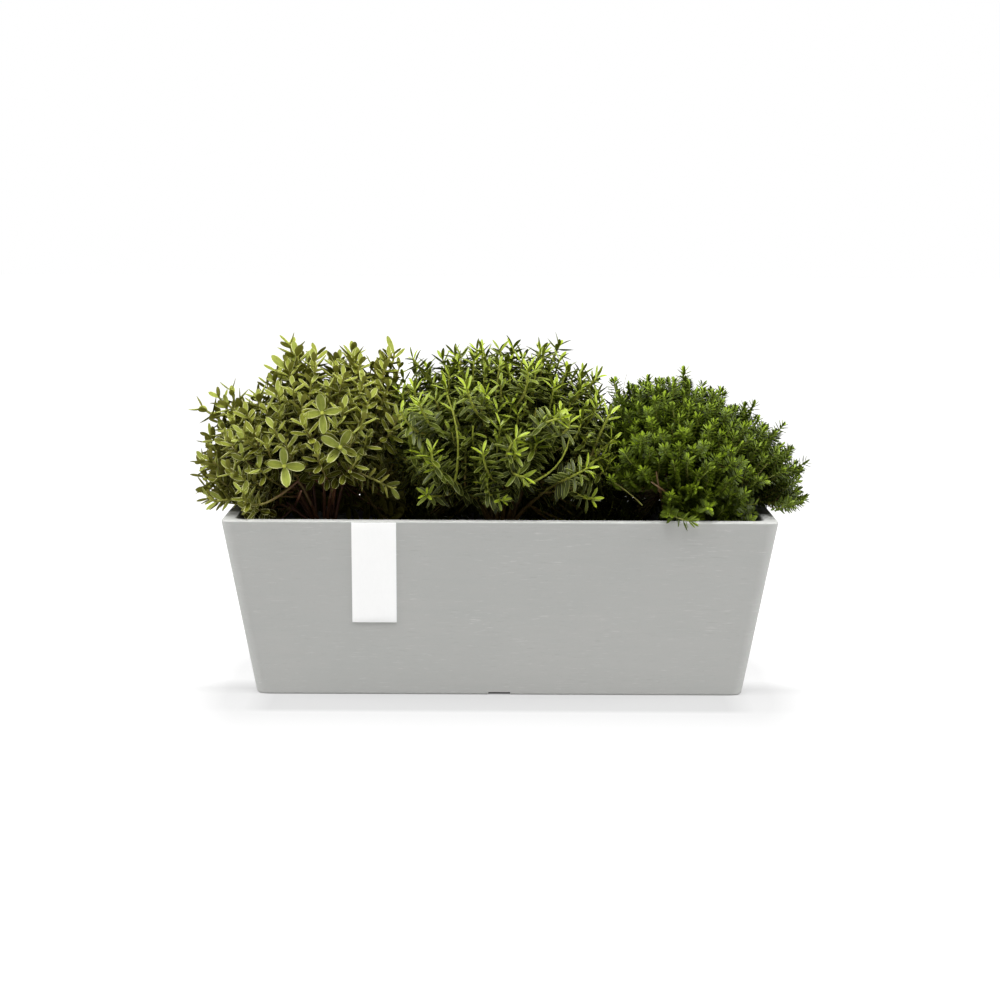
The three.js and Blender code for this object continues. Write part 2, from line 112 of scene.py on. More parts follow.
class Nodes:
    """A node tree, and short ways to add nodes to it."""

    def __init__(self, tree: bpy.types.NodeTree) -> None:
        """Keep the tree that the nodes go into."""
        self.tree = tree

    def node(self, kind: str, **settings: object) -> bpy.types.Node:
        """Add a node and set its properties.

        Args:
            kind: The node's type name.
            settings: Properties of the node, by name.

        Returns:
            The new node.
        """
        made = self.tree.nodes.new(kind)
        for key, value in settings.items():
            setattr(made, key, value)
        return made

    def link(self, source: Socket, target: Socket) -> None:
        """Join two sockets."""
        self.tree.links.new(source, target)

    def ray(self, kind: str) -> Socket:
        """Value that is 1 for rays of a kind, such as Camera, and 0 for others."""
        return self.node("ShaderNodeLightPath").outputs[f"Is {kind} Ray"]

    def span(self, value: Socket, low: float, high: float, to: Pair = (0, 1)) -> Socket:
        """Map a value's span to another, and clamp it there.

        Args:
            value: The value.
            low: Where the span starts.
            high: Where the span ends.
            to: What the two ends become.

        Returns:
            The mapped value.
        """
        node = self.node("ShaderNodeMapRange", clamp=True)
        ends = {"From Min": low, "From Max": high, "To Min": to[0], "To Max": to[1]}
        for name, end in ends.items():
            node.inputs[name].default_value = end
        self.link(value, node.inputs["Value"])
        return node.outputs["Result"]

    def math(self, operation: str, *values: Socket | float) -> Socket:
        """Combine up to three values.

        Args:
            operation: Name of the operation, such as MULTIPLY.
            values: Sockets and numbers, in the operation's order.

        Returns:
            The combined value.
        """
        node = self.node("ShaderNodeMath", operation=operation)
        for socket, value in zip(node.inputs, values):
            if isinstance(value, (int, float)):
                socket.default_value = value
            else:
                self.link(value, socket)
        return node.outputs["Value"]

    def times(self, first: Socket | float, *others: Socket | float) -> Socket:
        """Multiply a value by others, one after the other.

        Args:
            first: The value.
            others: The others.

        Returns:
            The product.
        """
        for other in others:
            first = self.math("MULTIPLY", first, other)
        return first


class Graph(Nodes):
    """The nodes of a material, under one Principled shader."""

    def __init__(self, name: str, roughness: float, colour: Colour) -> None:
        """Start a material whose shader has a plain colour and roughness.

        Args:
            name: The material's name.
            roughness: The shader's roughness.
            colour: Its plain colour.
        """
        self.material = bpy.data.materials.new(name)
        self.material.use_nodes = True
        super().__init__(self.material.node_tree)
        self.shader = self.tree.nodes["Principled BSDF"]
        self.shader.inputs["Roughness"].default_value = roughness
        self.shader.inputs["Base Color"].default_value = (*colour, 1)
        self.material.diffuse_color = (*colour, 1)

    def feed(self, socket: str, source: Socket) -> None:
        """Join a socket to one of the shader's inputs."""
        self.link(source, self.shader.inputs[socket])

    def place(self, scale: Sequence[float] = (1, 1, 1)) -> Socket:
        """Object coordinates, stretched.

        Args:
            scale: Factor along each axis.

        Returns:
            The vector socket.
        """
        where = self.node("ShaderNodeTexCoord")
        mapping = self.node("ShaderNodeMapping")
        mapping.inputs["Scale"].default_value = scale
        self.link(where.outputs["Object"], mapping.inputs["Vector"])
        return mapping.outputs["Vector"]

    def noise(
        self,
        scale: float,
        detail: float = 4,
        stretch: Sequence[float] = (1, 1, 1),
        roughness: float = 0.55,
    ) -> Socket:
        """A noise value over Object coordinates.

        Args:
            scale: Cells per metre.
            detail: Octaves.
            stretch: Factor along each axis before the noise is read.
            roughness: How strong the fine octaves are.

        Returns:
            The value socket, about 0.3 to 0.7.
        """
        noise = self.node("ShaderNodeTexNoise")
        noise.inputs["Scale"].default_value = scale
        noise.inputs["Detail"].default_value = detail
        noise.inputs["Roughness"].default_value = roughness
        self.link(self.place(stretch), noise.inputs["Vector"])
        return noise.outputs["Fac"]

    def mix(
        self,
        share: Socket,
        first: Socket | Colour,
        second: Socket | Colour,
    ) -> Socket:
        """Blend two colours.

        Args:
            share: 0 gives the first colour and 1 the second.
            first: A colour or a socket.
            second: A colour or a socket.

        Returns:
            The blended colour.
        """
        node = self.node("ShaderNodeMix", data_type="RGBA")
        self.link(share, node.inputs["Factor"])
        for key, value in (("A", first), ("B", second)):
            socket = next(s for s in node.inputs if s.name == key and s.type == "RGBA")
            if isinstance(value, tuple):
                socket.default_value = (*value, 1)
            else:
                self.link(value, socket)
        return next(s for s in node.outputs if s.type == "RGBA")

    def attribute(self, name: str) -> Socket:
        """Value of one of the piece's own attributes."""
        return self.node("ShaderNodeAttribute", attribute_name=name).outputs["Fac"]

    def bump(self, height: Socket, distance: float, strength: float = 1) -> None:
        """Raise the surface by a value.

        Args:
            height: 0 to 1.
            distance: How far 1 stands above 0, in metres.
            strength: Share of it that shows.
        """
        node = self.node("ShaderNodeBump")
        node.inputs["Distance"].default_value = distance
        node.inputs["Strength"].default_value = strength
        self.link(height, node.inputs["Height"])
        self.feed("Normal", node.outputs["Normal"])


@dataclass(frozen=True)
class StonePlastic:
    """Matt light grey plastic filled with stone powder, faintly brushed along the walls."""

    light: Colour = srgb(174, 174, 171)
    dark: Colour = srgb(169, 170, 167)
    speck: Colour = srgb(142, 142, 139)
    pale_dash: Colour = srgb(194, 194, 191)
    dim_dash: Colour = srgb(160, 160, 157)
    roughness: float = 0.62
    cloud_cells: float = 9
    streak_cells: float = 60
    streak_stretch: Place = (0.25, 0.3, 2.4)
    streak_share: float = 0.55
    speck_cells: float = 1400
    speck_share: float = 0.6
    dash_cells: float = 700
    dash_stretch: Place = (0.11, 0.11, 1)
    patch_cells: float = 16
    patch_stretch: Place = (1, 1, 1.6)
    grain_cells: float = 900
    grain_height: float = 0.12 * MM

    def build(self) -> Material:
        """Make the material, with its noises in cells per metre.

        Returns:
            The material.
        """
        graph = Graph("stone_plastic", self.roughness, self.light)
        clouds = graph.span(graph.noise(self.cloud_cells, 3), 0.35, 0.65)
        streaks = graph.noise(self.streak_cells, 5, self.streak_stretch)
        streaks = graph.span(streaks, 0.3, 0.7)
        clouded = graph.times(clouds, 1 - self.streak_share)
        blend = graph.math("MULTIPLY_ADD", streaks, self.streak_share, clouded)
        coloured = graph.mix(blend, self.dark, self.light)
        specks = graph.span(graph.noise(self.speck_cells, 2), 0.66, 0.74, (0, self.speck_share))
        coloured = graph.mix(specks, coloured, self.speck)
        dashes = graph.noise(self.dash_cells, 3, self.dash_stretch)
        patches = graph.noise(self.patch_cells, 3, self.patch_stretch)
        patches = graph.span(patches, 0.4, 0.65, (0.25, 1))
        pale = graph.times(patches, graph.span(dashes, 0.6, 0.75, (0, 0.8)))
        coloured = graph.mix(pale, coloured, self.pale_dash)
        dim = graph.times(patches, graph.span(dashes, 0.28, 0.4, (0.75, 0)))
        graph.feed("Base Color", graph.mix(dim, coloured, self.dim_dash))
        rough = graph.span(streaks, 0, 1, (self.roughness - 0.07, self.roughness + 0.08))
        graph.feed("Roughness", rough)
        grain = graph.math("ADD", graph.noise(self.grain_cells, 3), graph.times(streaks, 0.5))
        graph.bump(grain, self.grain_height, 0.6)
        return graph.material


@dataclass(frozen=True)
class WhiteCard:
    """Matt white card with a faint fibre."""

    face: Colour = srgb(249, 249, 248)
    shade: Colour = srgb(247, 247, 246)
    roughness: float = 0.72
    fibre_cells: float = 420
    fibre_stretch: Place = (1, 1, 0.35)
    grain_cells: float = 1500
    grain_height: float = 0.03 * MM

    def build(self) -> Material:
        """Make the material.

        Returns:
            The material.
        """
        graph = Graph("white_card", self.roughness, self.face)
        fibre = graph.span(graph.noise(self.fibre_cells, 5, self.fibre_stretch), 0.3, 0.7)
        graph.feed("Base Color", graph.mix(fibre, self.shade, self.face))
        graph.bump(graph.noise(self.grain_cells, 3), self.grain_height, 0.5)
        return graph.material


@dataclass(frozen=True)
class BlackRubber:
    """Soft black rubber, slightly dusty."""

    clean: Colour = srgb(30, 30, 31)
    dusty: Colour = srgb(66, 64, 60)
    roughness: float = 0.55
    dusty_roughness: float = 0.8
    dust_cells: float = 260
    grain_cells: float = 900
    grain_height: float = 0.04 * MM

    def build(self) -> Material:
        """Make the material.

        Returns:
            The material.
        """
        graph = Graph("black_rubber", self.roughness, self.clean)
        dust = graph.span(graph.noise(self.dust_cells), 0.45, 0.75)
        graph.feed("Base Color", graph.mix(dust, self.clean, self.dusty))
        rough = graph.span(dust, 0, 1, (self.roughness, self.dusty_roughness))
        graph.feed("Roughness", rough)
        graph.bump(graph.noise(self.grain_cells, 2), self.grain_height)
        return graph.material


@dataclass(frozen=True)
class MoistSoil:
    """Dark brown potting mix with lighter fibres and crumbs."""

    name: str
    dark: Colour = srgb(26, 18, 12)
    light: Colour = srgb(84, 62, 44)
    fibre: Colour = srgb(120, 92, 62)
    roughness: float = 0.92
    crumb_cells: float = 330
    fibre_cells: float = 900
    fibre_stretch: Place = (1, 0.15, 0.15)
    clod_cells: float = 520
    clod_height: float = 1.6 * MM

    def build(self) -> Material:
        """Make the material.

        Returns:
            The material.
        """
        graph = Graph(self.name, self.roughness, self.dark)
        crumbs = graph.span(graph.noise(self.crumb_cells, 6, roughness=0.7), 0.38, 0.68)
        base = graph.mix(crumbs, self.dark, self.light)
        fibres = graph.span(graph.noise(self.fibre_cells, 3, self.fibre_stretch), 0.62, 0.72)
        graph.feed("Base Color", graph.mix(fibres, base, self.fibre))
        graph.bump(graph.noise(self.clod_cells, 6, roughness=0.7), self.clod_height, 0.9)
        return graph.material


@dataclass(frozen=True)
class Bark:
    """Twig bark, green where the twig is young. The piece's youth attribute runs from 0 to 1."""

    name: str
    old: Colour
    young: Colour
    crack: Colour = srgb(40, 26, 14)
    crack_share: float = 0.45
    roughness: float = 0.6
    patch_cells: float = 300
    ring_cells: float = 800
    ring_stretch: Place = (1, 1, 0.3)
    grain_cells: float = 900
    grain_height: float = 0.3 * MM

    def build(self) -> Material:
        """Make the material.

        Returns:
            The material.
        """
        graph = Graph(self.name, self.roughness, self.old)
        patches = graph.span(graph.noise(self.patch_cells), 0.3, 0.7, (-0.2, 0.2))
        ragged = graph.math("ADD", graph.attribute("youth"), patches)
        greened = graph.mix(graph.span(ragged, 0.15, 0.85), self.old, self.young)
        rings = graph.noise(self.ring_cells, 3, self.ring_stretch)
        rings = graph.span(rings, 0.35, 0.7, (0, self.crack_share))
        graph.feed("Base Color", graph.mix(rings, greened, self.crack))
        graph.bump(graph.noise(self.grain_cells, 3), self.grain_height, 0.5)
        return graph.material


@dataclass(frozen=True)
class LeafSkin:
    """Leaf surface: a ground colour by age, chance and painted light and shade, a midrib, an edge
    and a paler underside.
    """

    name: str
    old: Colour
    mature: Colour
    young: Colour
    rib: Colour
    edge: Colour
    under: Colour
    edge_from: float
    edge_share: float
    roughness: float
    gloss: float
    rib_share: float = 0.55
    under_share: float = 0.75
    mottle_share: float = 0.3
    mottle_cells: float = 260
    grain_cells: float = 1100
    grain_height: float = 0.12 * MM

    def build(self) -> Material:
        """Make the material, from the pieces' leaf map and their three leaf attributes.

        Returns:
            The material.
        """
        graph = Graph(self.name, self.roughness, self.mature)
        uv = graph.node("ShaderNodeUVMap", uv_map="leaf")
        axes = graph.node("ShaderNodeSeparateXYZ")
        graph.link(uv.outputs["UV"], axes.inputs["Vector"])
        out = graph.math("ABSOLUTE", graph.math("SUBTRACT", axes.outputs["X"], 0.5))
        # The chance attribute also holds painted light and shade: it blends leaves high up and at
        # the canopy's outside towards the bright mature colour, and leaves low and deep inside
        # towards the dark old colour.
        chance = graph.attribute("chance")
        ground = graph.mix(chance, self.old, self.mature)
        chance = graph.span(chance, 0, 1, (-0.12, 0.12))
        patchy = graph.math("ADD", graph.attribute("youth"), chance)
        ground = graph.mix(graph.span(patchy, 0.15, 0.95), ground, self.young)
        mottle = graph.span(graph.noise(self.mottle_cells), 0.3, 0.7, (0, self.mottle_share))
        ground = graph.mix(mottle, ground, self.old)
        rib = graph.span(out, 0.03, 0.07, (self.rib_share, 0))
        ground = graph.mix(rib, ground, self.rib)
        # The edge band is the real cream margin on the left shrub's leaves and a painted highlight
        # along the middle shrub's dark leaves.
        edge = graph.span(out, self.edge_from, self.edge_from + 0.06, (0, self.edge_share))
        ground = graph.mix(edge, ground, self.edge)
        beneath = graph.times(graph.attribute("beneath"), self.under_share)
        graph.feed("Base Color", graph.mix(beneath, ground, self.under))
        graph.shader.inputs["Specular IOR Level"].default_value = self.gloss
        graph.bump(graph.noise(self.grain_cells, 3), self.grain_height, 0.5)
        return graph.material


class Part(Enum):
    """Parts of an edited mesh, by the name of their list."""

    VERT = "verts"
    EDGE = "edges"
    FACE = "faces"


class Bench:
    """Hand tools around Blender's operators, shared by every maker."""

    @staticmethod
    def clear() -> None:
        """Leave edit mode and deselect everything."""
        if bpy.context.mode != "OBJECT":
            bpy.ops.object.mode_set(mode="OBJECT")
        bpy.ops.object.select_all(action="DESELECT")

    @staticmethod
    def name(label: str) -> Piece:
        """Name the active object and its mesh.

        Args:
            label: The new name.

        Returns:
            The object.
        """
        piece = bpy.context.object
        piece.name = label
        piece.data.name = label
        return piece

    @staticmethod
    def take(piece: Piece) -> None:
        """Make a piece the active object and the only one selected.

        Args:
            piece: The piece.
        """
        Bench.clear()
        bpy.context.view_layer.objects.active = piece
        piece.select_set(True)

    @staticmethod
    def box(centre: Sequence[float], size: Sequence[float]) -> Piece:
        """Add a box.

        Args:
            centre: Its centre.
            size: Its length, width and height.

        Returns:
            The box.
        """
        Bench.clear()
        bpy.ops.mesh.primitive_cube_add(size=1, location=centre)
        box = bpy.context.object
        box.scale = size
        Bench.settle(box)
        return box

    @staticmethod
    def cylinder(radius: float, low: float, high: float, x: float) -> Piece:
        """Add an upright cylinder on the trough's long axis.

        Args:
            radius: Its radius.
            low: Height of its lower end.
            high: Height of its upper end.
            x: Its place along the trough.

        Returns:
            The cylinder.
        """
        Bench.clear()
        bpy.ops.mesh.primitive_cylinder_add(
            vertices=48, radius=radius, depth=high - low, location=(x, 0, (low + high) / 2)
        )
        cylinder = bpy.context.object
        Bench.settle(cylinder)
        return cylinder

    @staticmethod
    def edit() -> None:
        """Enter edit mode with nothing selected."""
        bpy.ops.object.mode_set(mode="EDIT")
        bpy.ops.mesh.select_mode(type="VERT")
        bpy.ops.mesh.select_all(action="DESELECT")

    @staticmethod
    def extrude(step: Sequence[float]) -> None:
        """Extrude what is selected by a step."""
        bpy.ops.mesh.extrude_region_move(TRANSFORM_OT_translate={"value": tuple(step)})

    @staticmethod
    def resize(ratio: Sequence[float], centre: Sequence[float] = (0, 0, 0)) -> None:
        """Scale what is selected about a place."""
        bpy.ops.transform.resize(value=tuple(ratio), center_override=tuple(centre))

    @staticmethod
    def face_out() -> None:
        """Turn every face of the edited mesh outwards."""
        bpy.ops.mesh.select_all(action="SELECT")
        bpy.ops.mesh.normals_make_consistent(inside=False)

    @staticmethod
    def pick(kind: Part, test: Callable[[bmesh.types.BMElem], bool]) -> None:
        """Select those parts of the edited mesh that pass a test, and no others.

        Args:
            kind: Which of its parts.
            test: Tells of a part whether it is wanted.
        """
        bpy.ops.mesh.select_mode(type=kind.name)
        mesh = bmesh.from_edit_mesh(bpy.context.object.data)
        parts = getattr(mesh, kind.value)
        chosen = [part for part in parts if test(part)]
        for part in parts:
            part.select_set(False)
        for part in chosen:
            part.select_set(True)
        mesh.select_flush_mode()
        bmesh.update_edit_mesh(bpy.context.object.data)

    @staticmethod
    def apply(piece: Piece, kind: str, **settings: object) -> None:
        """Add a modifier to a piece and apply it.

        Args:
            piece: The piece.
            kind: The modifier's type.
            settings: Its properties, by name.
        """
        Bench.take(piece)
        modifier = piece.modifiers.new(kind.lower(), kind)
        for key, value in settings.items():
            setattr(modifier, key, value)
        bpy.ops.object.modifier_apply(modifier=modifier.name)

    @staticmethod
    def cut(piece: Piece, tool: Piece, operation: str = "DIFFERENCE") -> None:
        """Cut a piece with a tool, or join the tool to it, and remove the tool."""
        Bench.apply(piece, "BOOLEAN", object=tool, operation=operation, solver="EXACT")
        bpy.data.objects.remove(tool)

    @staticmethod
    def settle(piece: Piece) -> None:
        """Move an object's place, turn and size into its mesh."""
        Bench.take(piece)
        bpy.ops.object.transform_apply(location=True, rotation=True, scale=True)

    @staticmethod
    def smooth(piece: Piece, angle: float) -> None:
        """Shade a piece smooth across edges flatter than an angle in degrees."""
        Bench.take(piece)
        bpy.ops.object.shade_smooth_by_angle(angle=math.radians(angle))

    @staticmethod
    def finish(
        piece: Piece,
        body: str,
        slot: Slot,
        nodes: Iterable[str],
        materials: Sequence[Material],
        faces: Sequence[int] = (),
    ) -> None:
        """Dress a finished piece and fix it to the frame.

        Args:
            piece: The finished piece.
            body: The body that it rides on.
            slot: The record's material slot; not used.
            nodes: The nodes that it stands for.
            materials: Its materials, in order.
            faces: Each face's material number, where there are several.
        """
        piece.data.materials.clear()
        for material in materials:
            piece.data.materials.append(material)
        if faces:
            piece.data.polygons.foreach_set("material_index", faces)
        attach(piece, body)
        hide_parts(*nodes)
        triangles = sum(len(face.vertices) - 2 for face in piece.data.polygons)
        LOG.info("%s: %d triangles, rides on %s", piece.name, triangles, body)


@dataclass
class Trough:
    """The trough moulding: its walls, floor, rim, foot, drain holes and notches."""

    height: float = 178 * MM
    length: float = 550 * MM
    width: float = 175 * MM
    end_draft: float = 32 * MM
    side_draft: float = 26 * MM
    corner_radius: float = 12 * MM
    rim_wall: float = 14 * MM
    base_wall: float = 10 * MM
    floor_thickness: float = 8 * MM
    inner_fillet: float = 6 * MM
    edge_radius: float = 2 * MM
    foot_height: float = 3.5 * MM
    foot_width: float = 12 * MM
    pad_radius: float = 17 * MM
    notch_length: float = 22 * MM
    notch_height: float = 2.6 * MM
    drain_radius: float = 10 * MM
    drain_spacing: float = 260 * MM
    cut_over: float = 4 * MM

    @property
    def floor_top(self) -> float:
        """Height of the floor's upper face."""
        return self.foot_height + self.floor_thickness

    def outer_half(self, z: float) -> Pair:
        """Half length and half width of the outside at a height."""
        back = 1 - z / self.height
        return self.length / 2 - self.end_draft * back, self.width / 2 - self.side_draft * back

    def inner_half(self, z: float) -> Pair:
        """Half length and half width of the inside at a height.

        Args:
            z: Height above the ground.

        Returns:
            Half the length and half the width.
        """
        rise = (z - self.floor_top) / (self.height - self.floor_top)
        wall = self.base_wall + (self.rim_wall - self.base_wall) * rise
        half_x, half_y = self.outer_half(z)
        return half_x - wall, half_y - wall

    def _resize_to(self, old: Sequence[float], new: Sequence[float]) -> None:
        """Scale what is selected about the trough's axis, from one half size to another."""
        Bench.resize((new[0] / old[0], new[1] / old[1], 1))

    def _round(
        self, z: float, radius: float, segments: int, half: Sequence[float] | None = None
    ) -> None:
        """Round the sharp edges at one height.

        Args:
            z: The height.
            radius: How far the rounding reaches.
            segments: Steps across it.
            half: Half length and half width of the ring of edges, or none for every ring.
        """
        slack = self.foot_width / 2

        def in_ring(edge: bmesh.types.BMEdge) -> bool:
            """Whether an edge belongs to the ring."""
            if any(abs(vert.co.z - z) >= NEAR for vert in edge.verts):
                return False
            if half is None:
                return len(edge.link_faces) == 2 and edge.calc_face_angle(0) > SHARP
            return all(
                abs(v.co.x) > half[0] - slack or abs(v.co.y) > half[1] - slack
                for v in edge.verts
            )

        Bench.pick(Part.EDGE, in_ring)
        bpy.ops.mesh.bevel(offset=radius, segments=segments)

    def _shell(self) -> Piece:
        """Model the walls and the floor from one block.

        Returns:
            The shell, without its openings.
        """
        top = self.height
        half = (self.length / 2, self.width / 2)
        foot = self.outer_half(0)
        inner = self.inner_half(self.floor_top)
        shell = Bench.box((0, 0, top / 2), (self.length, self.width, top))
        Bench.name("trough_moulding")
        Bench.edit()
        Bench.pick(Part.VERT, lambda v: v.co.z < NEAR)
        self._resize_to(half, foot)
        Bench.pick(Part.EDGE, lambda e: abs(e.verts[0].co.z - e.verts[1].co.z) > top / 2)
        bpy.ops.mesh.bevel(offset=self.corner_radius, segments=12)
        Bench.pick(Part.FACE, lambda f: f.normal.z > FACING)
        Bench.extrude((0, 0, 0))
        self._resize_to(half, self.inner_half(top))
        Bench.extrude((0, 0, self.floor_top - top))
        self._resize_to(self.inner_half(top), inner)
        Bench.pick(Part.FACE, lambda f: f.normal.z < -FACING and f.calc_center_median().z < NEAR)
        Bench.extrude((0, 0, 0))
        self._resize_to(foot, tuple(value - self.foot_width for value in foot))
        Bench.extrude((0, 0, self.foot_height))
        self._round(top, self.edge_radius, 4)
        self._round(0, self.edge_radius, 3, foot)
        self._round(self.floor_top, self.inner_fillet, 5, inner)
        Bench.clear()
        return shell

    def _openings(self, shell: Piece) -> None:
        """Add the pad under the floor, and cut the drain holes and notches.

        Args:
            shell: The trough's shell.
        """
        over = self.cut_over
        Bench.cut(shell, Bench.cylinder(self.pad_radius, 0, self.foot_height + over, 0), "UNION")
        notch = (self.notch_length, 2 * (self.foot_width + over), 2 * self.notch_height)
        for side in (-1, 1):
            x = side * self.drain_spacing / 2
            drain = Bench.cylinder(self.drain_radius, -over, self.floor_top + over, x)
            Bench.cut(shell, drain)
            Bench.cut(shell, Bench.box((0, side * self.outer_half(0)[1], 0), notch))

    def build(self, finish: Material) -> None:
        """Model the trough and dress it.

        Args:
            finish: The trough's material.
        """
        shell = self._shell()
        self._openings(shell)
        Bench.smooth(shell, 32)
        Bench.apply(shell, "WEIGHTED_NORMAL", keep_sharp=True)
        Bench.finish(shell, "trough", Slot.TROUGH, ["trough"], [finish])


@dataclass
class Stopper:
    """A rubber stopper: a flange, a hollow shank and a chamfered end."""

    side: str
    trough: Trough
    flange_radius: float = 15 * MM
    flange_thickness: float = 2 * MM
    hollow_radius: float = 6 * MM
    hollow_depth: float = 6 * MM
    chamfer: float = 1 * MM
    edge_bevel: float = 0.35 * MM
    gap: float = 0.3 * MM

    def build(self, finish: Material) -> None:
        """Model the stopper from its flange up, and dress it.

        Args:
            finish: The stopper's material.
        """
        trough = self.trough
        x = trough.drain_spacing / 2 * (-1 if self.side == "left" else 1)
        shank = trough.drain_radius - self.gap
        flange_top = trough.foot_height - self.gap
        stopper = Bench.cylinder(
            self.flange_radius, flange_top - self.flange_thickness, flange_top, x
        )
        Bench.name(f"rubber_stopper_{self.side}")
        Bench.edit()
        Bench.pick(Part.FACE, lambda f: f.normal.z > FACING)
        bpy.ops.mesh.inset(thickness=self.flange_radius - shank)
        Bench.extrude((0, 0, trough.floor_top - self.chamfer - flange_top))
        Bench.extrude((0, 0, self.chamfer))
        tip = (shank - self.chamfer) / shank
        Bench.resize((tip, tip, 1), (x, 0, 0))
        Bench.pick(Part.FACE, lambda f: f.normal.z < -FACING)
        bpy.ops.mesh.inset(thickness=self.flange_radius - self.hollow_radius)
        Bench.extrude((0, 0, self.hollow_depth))
        Bench.apply(stopper, "BEVEL", width=self.edge_bevel, segments=2, limit_method="ANGLE")
        Bench.smooth(stopper, 40)
        node = f"drain_stopper_{self.side}"
        Bench.finish(stopper, f"{self.side}_stopper", Slot.STOPPER, [node], [finish])


@dataclass
class CardLabel:
    """A strip of card folded over the front rim."""

    trough: Trough
    width: float = 44 * MM
    length: float = 104 * MM
    tuck: float = 15 * MM
    thickness: float = 0.8 * MM
    centre_x: float = -124 * MM
    gap: float = 0.3 * MM
    standoff: float = 0.8 * MM
    fold_radius: float = 1.1 * MM
    edge_bevel: float = 0.12 * MM

    def _run(self, step: Vector, count: int) -> None:
        """Extrude the strip's end face along a straight run in equal steps."""
        for _ in range(count):
            Bench.extrude(step / count)

    def _fold(self, centre: Vector, angle: float) -> None:
        """Turn the strip's end face round a fold."""
        bpy.ops.mesh.spin(steps=6, angle=angle, center=tuple(centre), axis=(1, 0, 0))

    def build(self, finish: Material) -> None:
        """Model the label from the end of its front leg, over the rim and down inside.

        Args:
            finish: The card's material.
        """
        trough = self.trough
        top = trough.height
        front_slope = math.atan2(trough.side_draft, trough.height)
        inner_low = trough.inner_half(top - self.tuck)[1]
        inner_slope = math.atan2(trough.inner_half(top)[1] - inner_low, self.tuck)
        up = Vector((0, -math.sin(front_slope), math.cos(front_slope)))
        out = Vector((0, -math.cos(front_slope), -math.sin(front_slope)))
        down = Vector((0, math.sin(inner_slope), -math.cos(inner_slope)))
        rim = Vector((self.centre_x, -trough.outer_half(top)[1], top))
        middle = self.gap + self.thickness / 2
        start = rim - up * self.length + out * middle
        Bench.clear()
        bpy.ops.mesh.primitive_plane_add(size=1, location=start)
        label = Bench.name("folded_card_label")
        label.scale = (self.width, self.thickness, 1)
        label.rotation_euler = (front_slope, 0, 0)
        Bench.settle(label)
        Bench.edit()
        bpy.ops.mesh.select_all(action="SELECT")
        reach = self.length - self.fold_radius
        self._run(up * reach, 16)
        radius = self.fold_radius + middle
        first = start + up * reach - out * radius
        self._fold(first, -(math.pi / 2 - front_slope))
        end_y = -trough.inner_half(top)[1] + self.standoff + self.thickness / 2 - radius
        across = end_y - first.y
        self._run(Vector((0, across, 0)), 3)
        second = first + Vector((0, across, 0))
        self._fold(second, -(math.pi / 2 - inner_slope))
        self._run(down * (self.tuck - self.fold_radius), 3)
        bpy.ops.mesh.select_all(action="SELECT")
        bpy.ops.mesh.remove_doubles(threshold=0.01 * MM)
        Bench.face_out()
        Bench.clear()
        square = {"limit_method": "ANGLE", "angle_limit": math.radians(60)}
        Bench.apply(label, "BEVEL", width=self.edge_bevel, segments=2, **square)
        Bench.smooth(label, 40)
        Bench.finish(label, "label", Slot.LABEL, ["card_label"], [finish])


@dataclass
class Cast:
    """A small shape modelled once, taken apart for copying into a growth."""

    points: np.ndarray
    faces: list[tuple[int, ...]]
    beneath: list[float]
    uv: np.ndarray

    @classmethod
    def take(cls, shape: Piece, length: float) -> "Cast":
        """Take a modelled shape apart and remove it.

        Args:
            shape: The shape, lying along +Y with its upper side up.
            length: Its length.

        Returns:
            The taken shape.
        """
        Bench.clear()
        mesh = shape.data
        points = np.array([vert.co for vert in mesh.vertices], float)
        faces = [tuple(face.vertices) for face in mesh.polygons]
        beneath = [float(face.normal.z < 0) for face in mesh.polygons]
        across = np.sign(np.round(points[:, 0], 6)) * 0.5 + 0.5
        uv = np.column_stack([across, points[:, 1] / length])
        bpy.data.objects.remove(shape)
        bpy.data.meshes.remove(mesh)
        return cls(points, faces, beneath, uv)


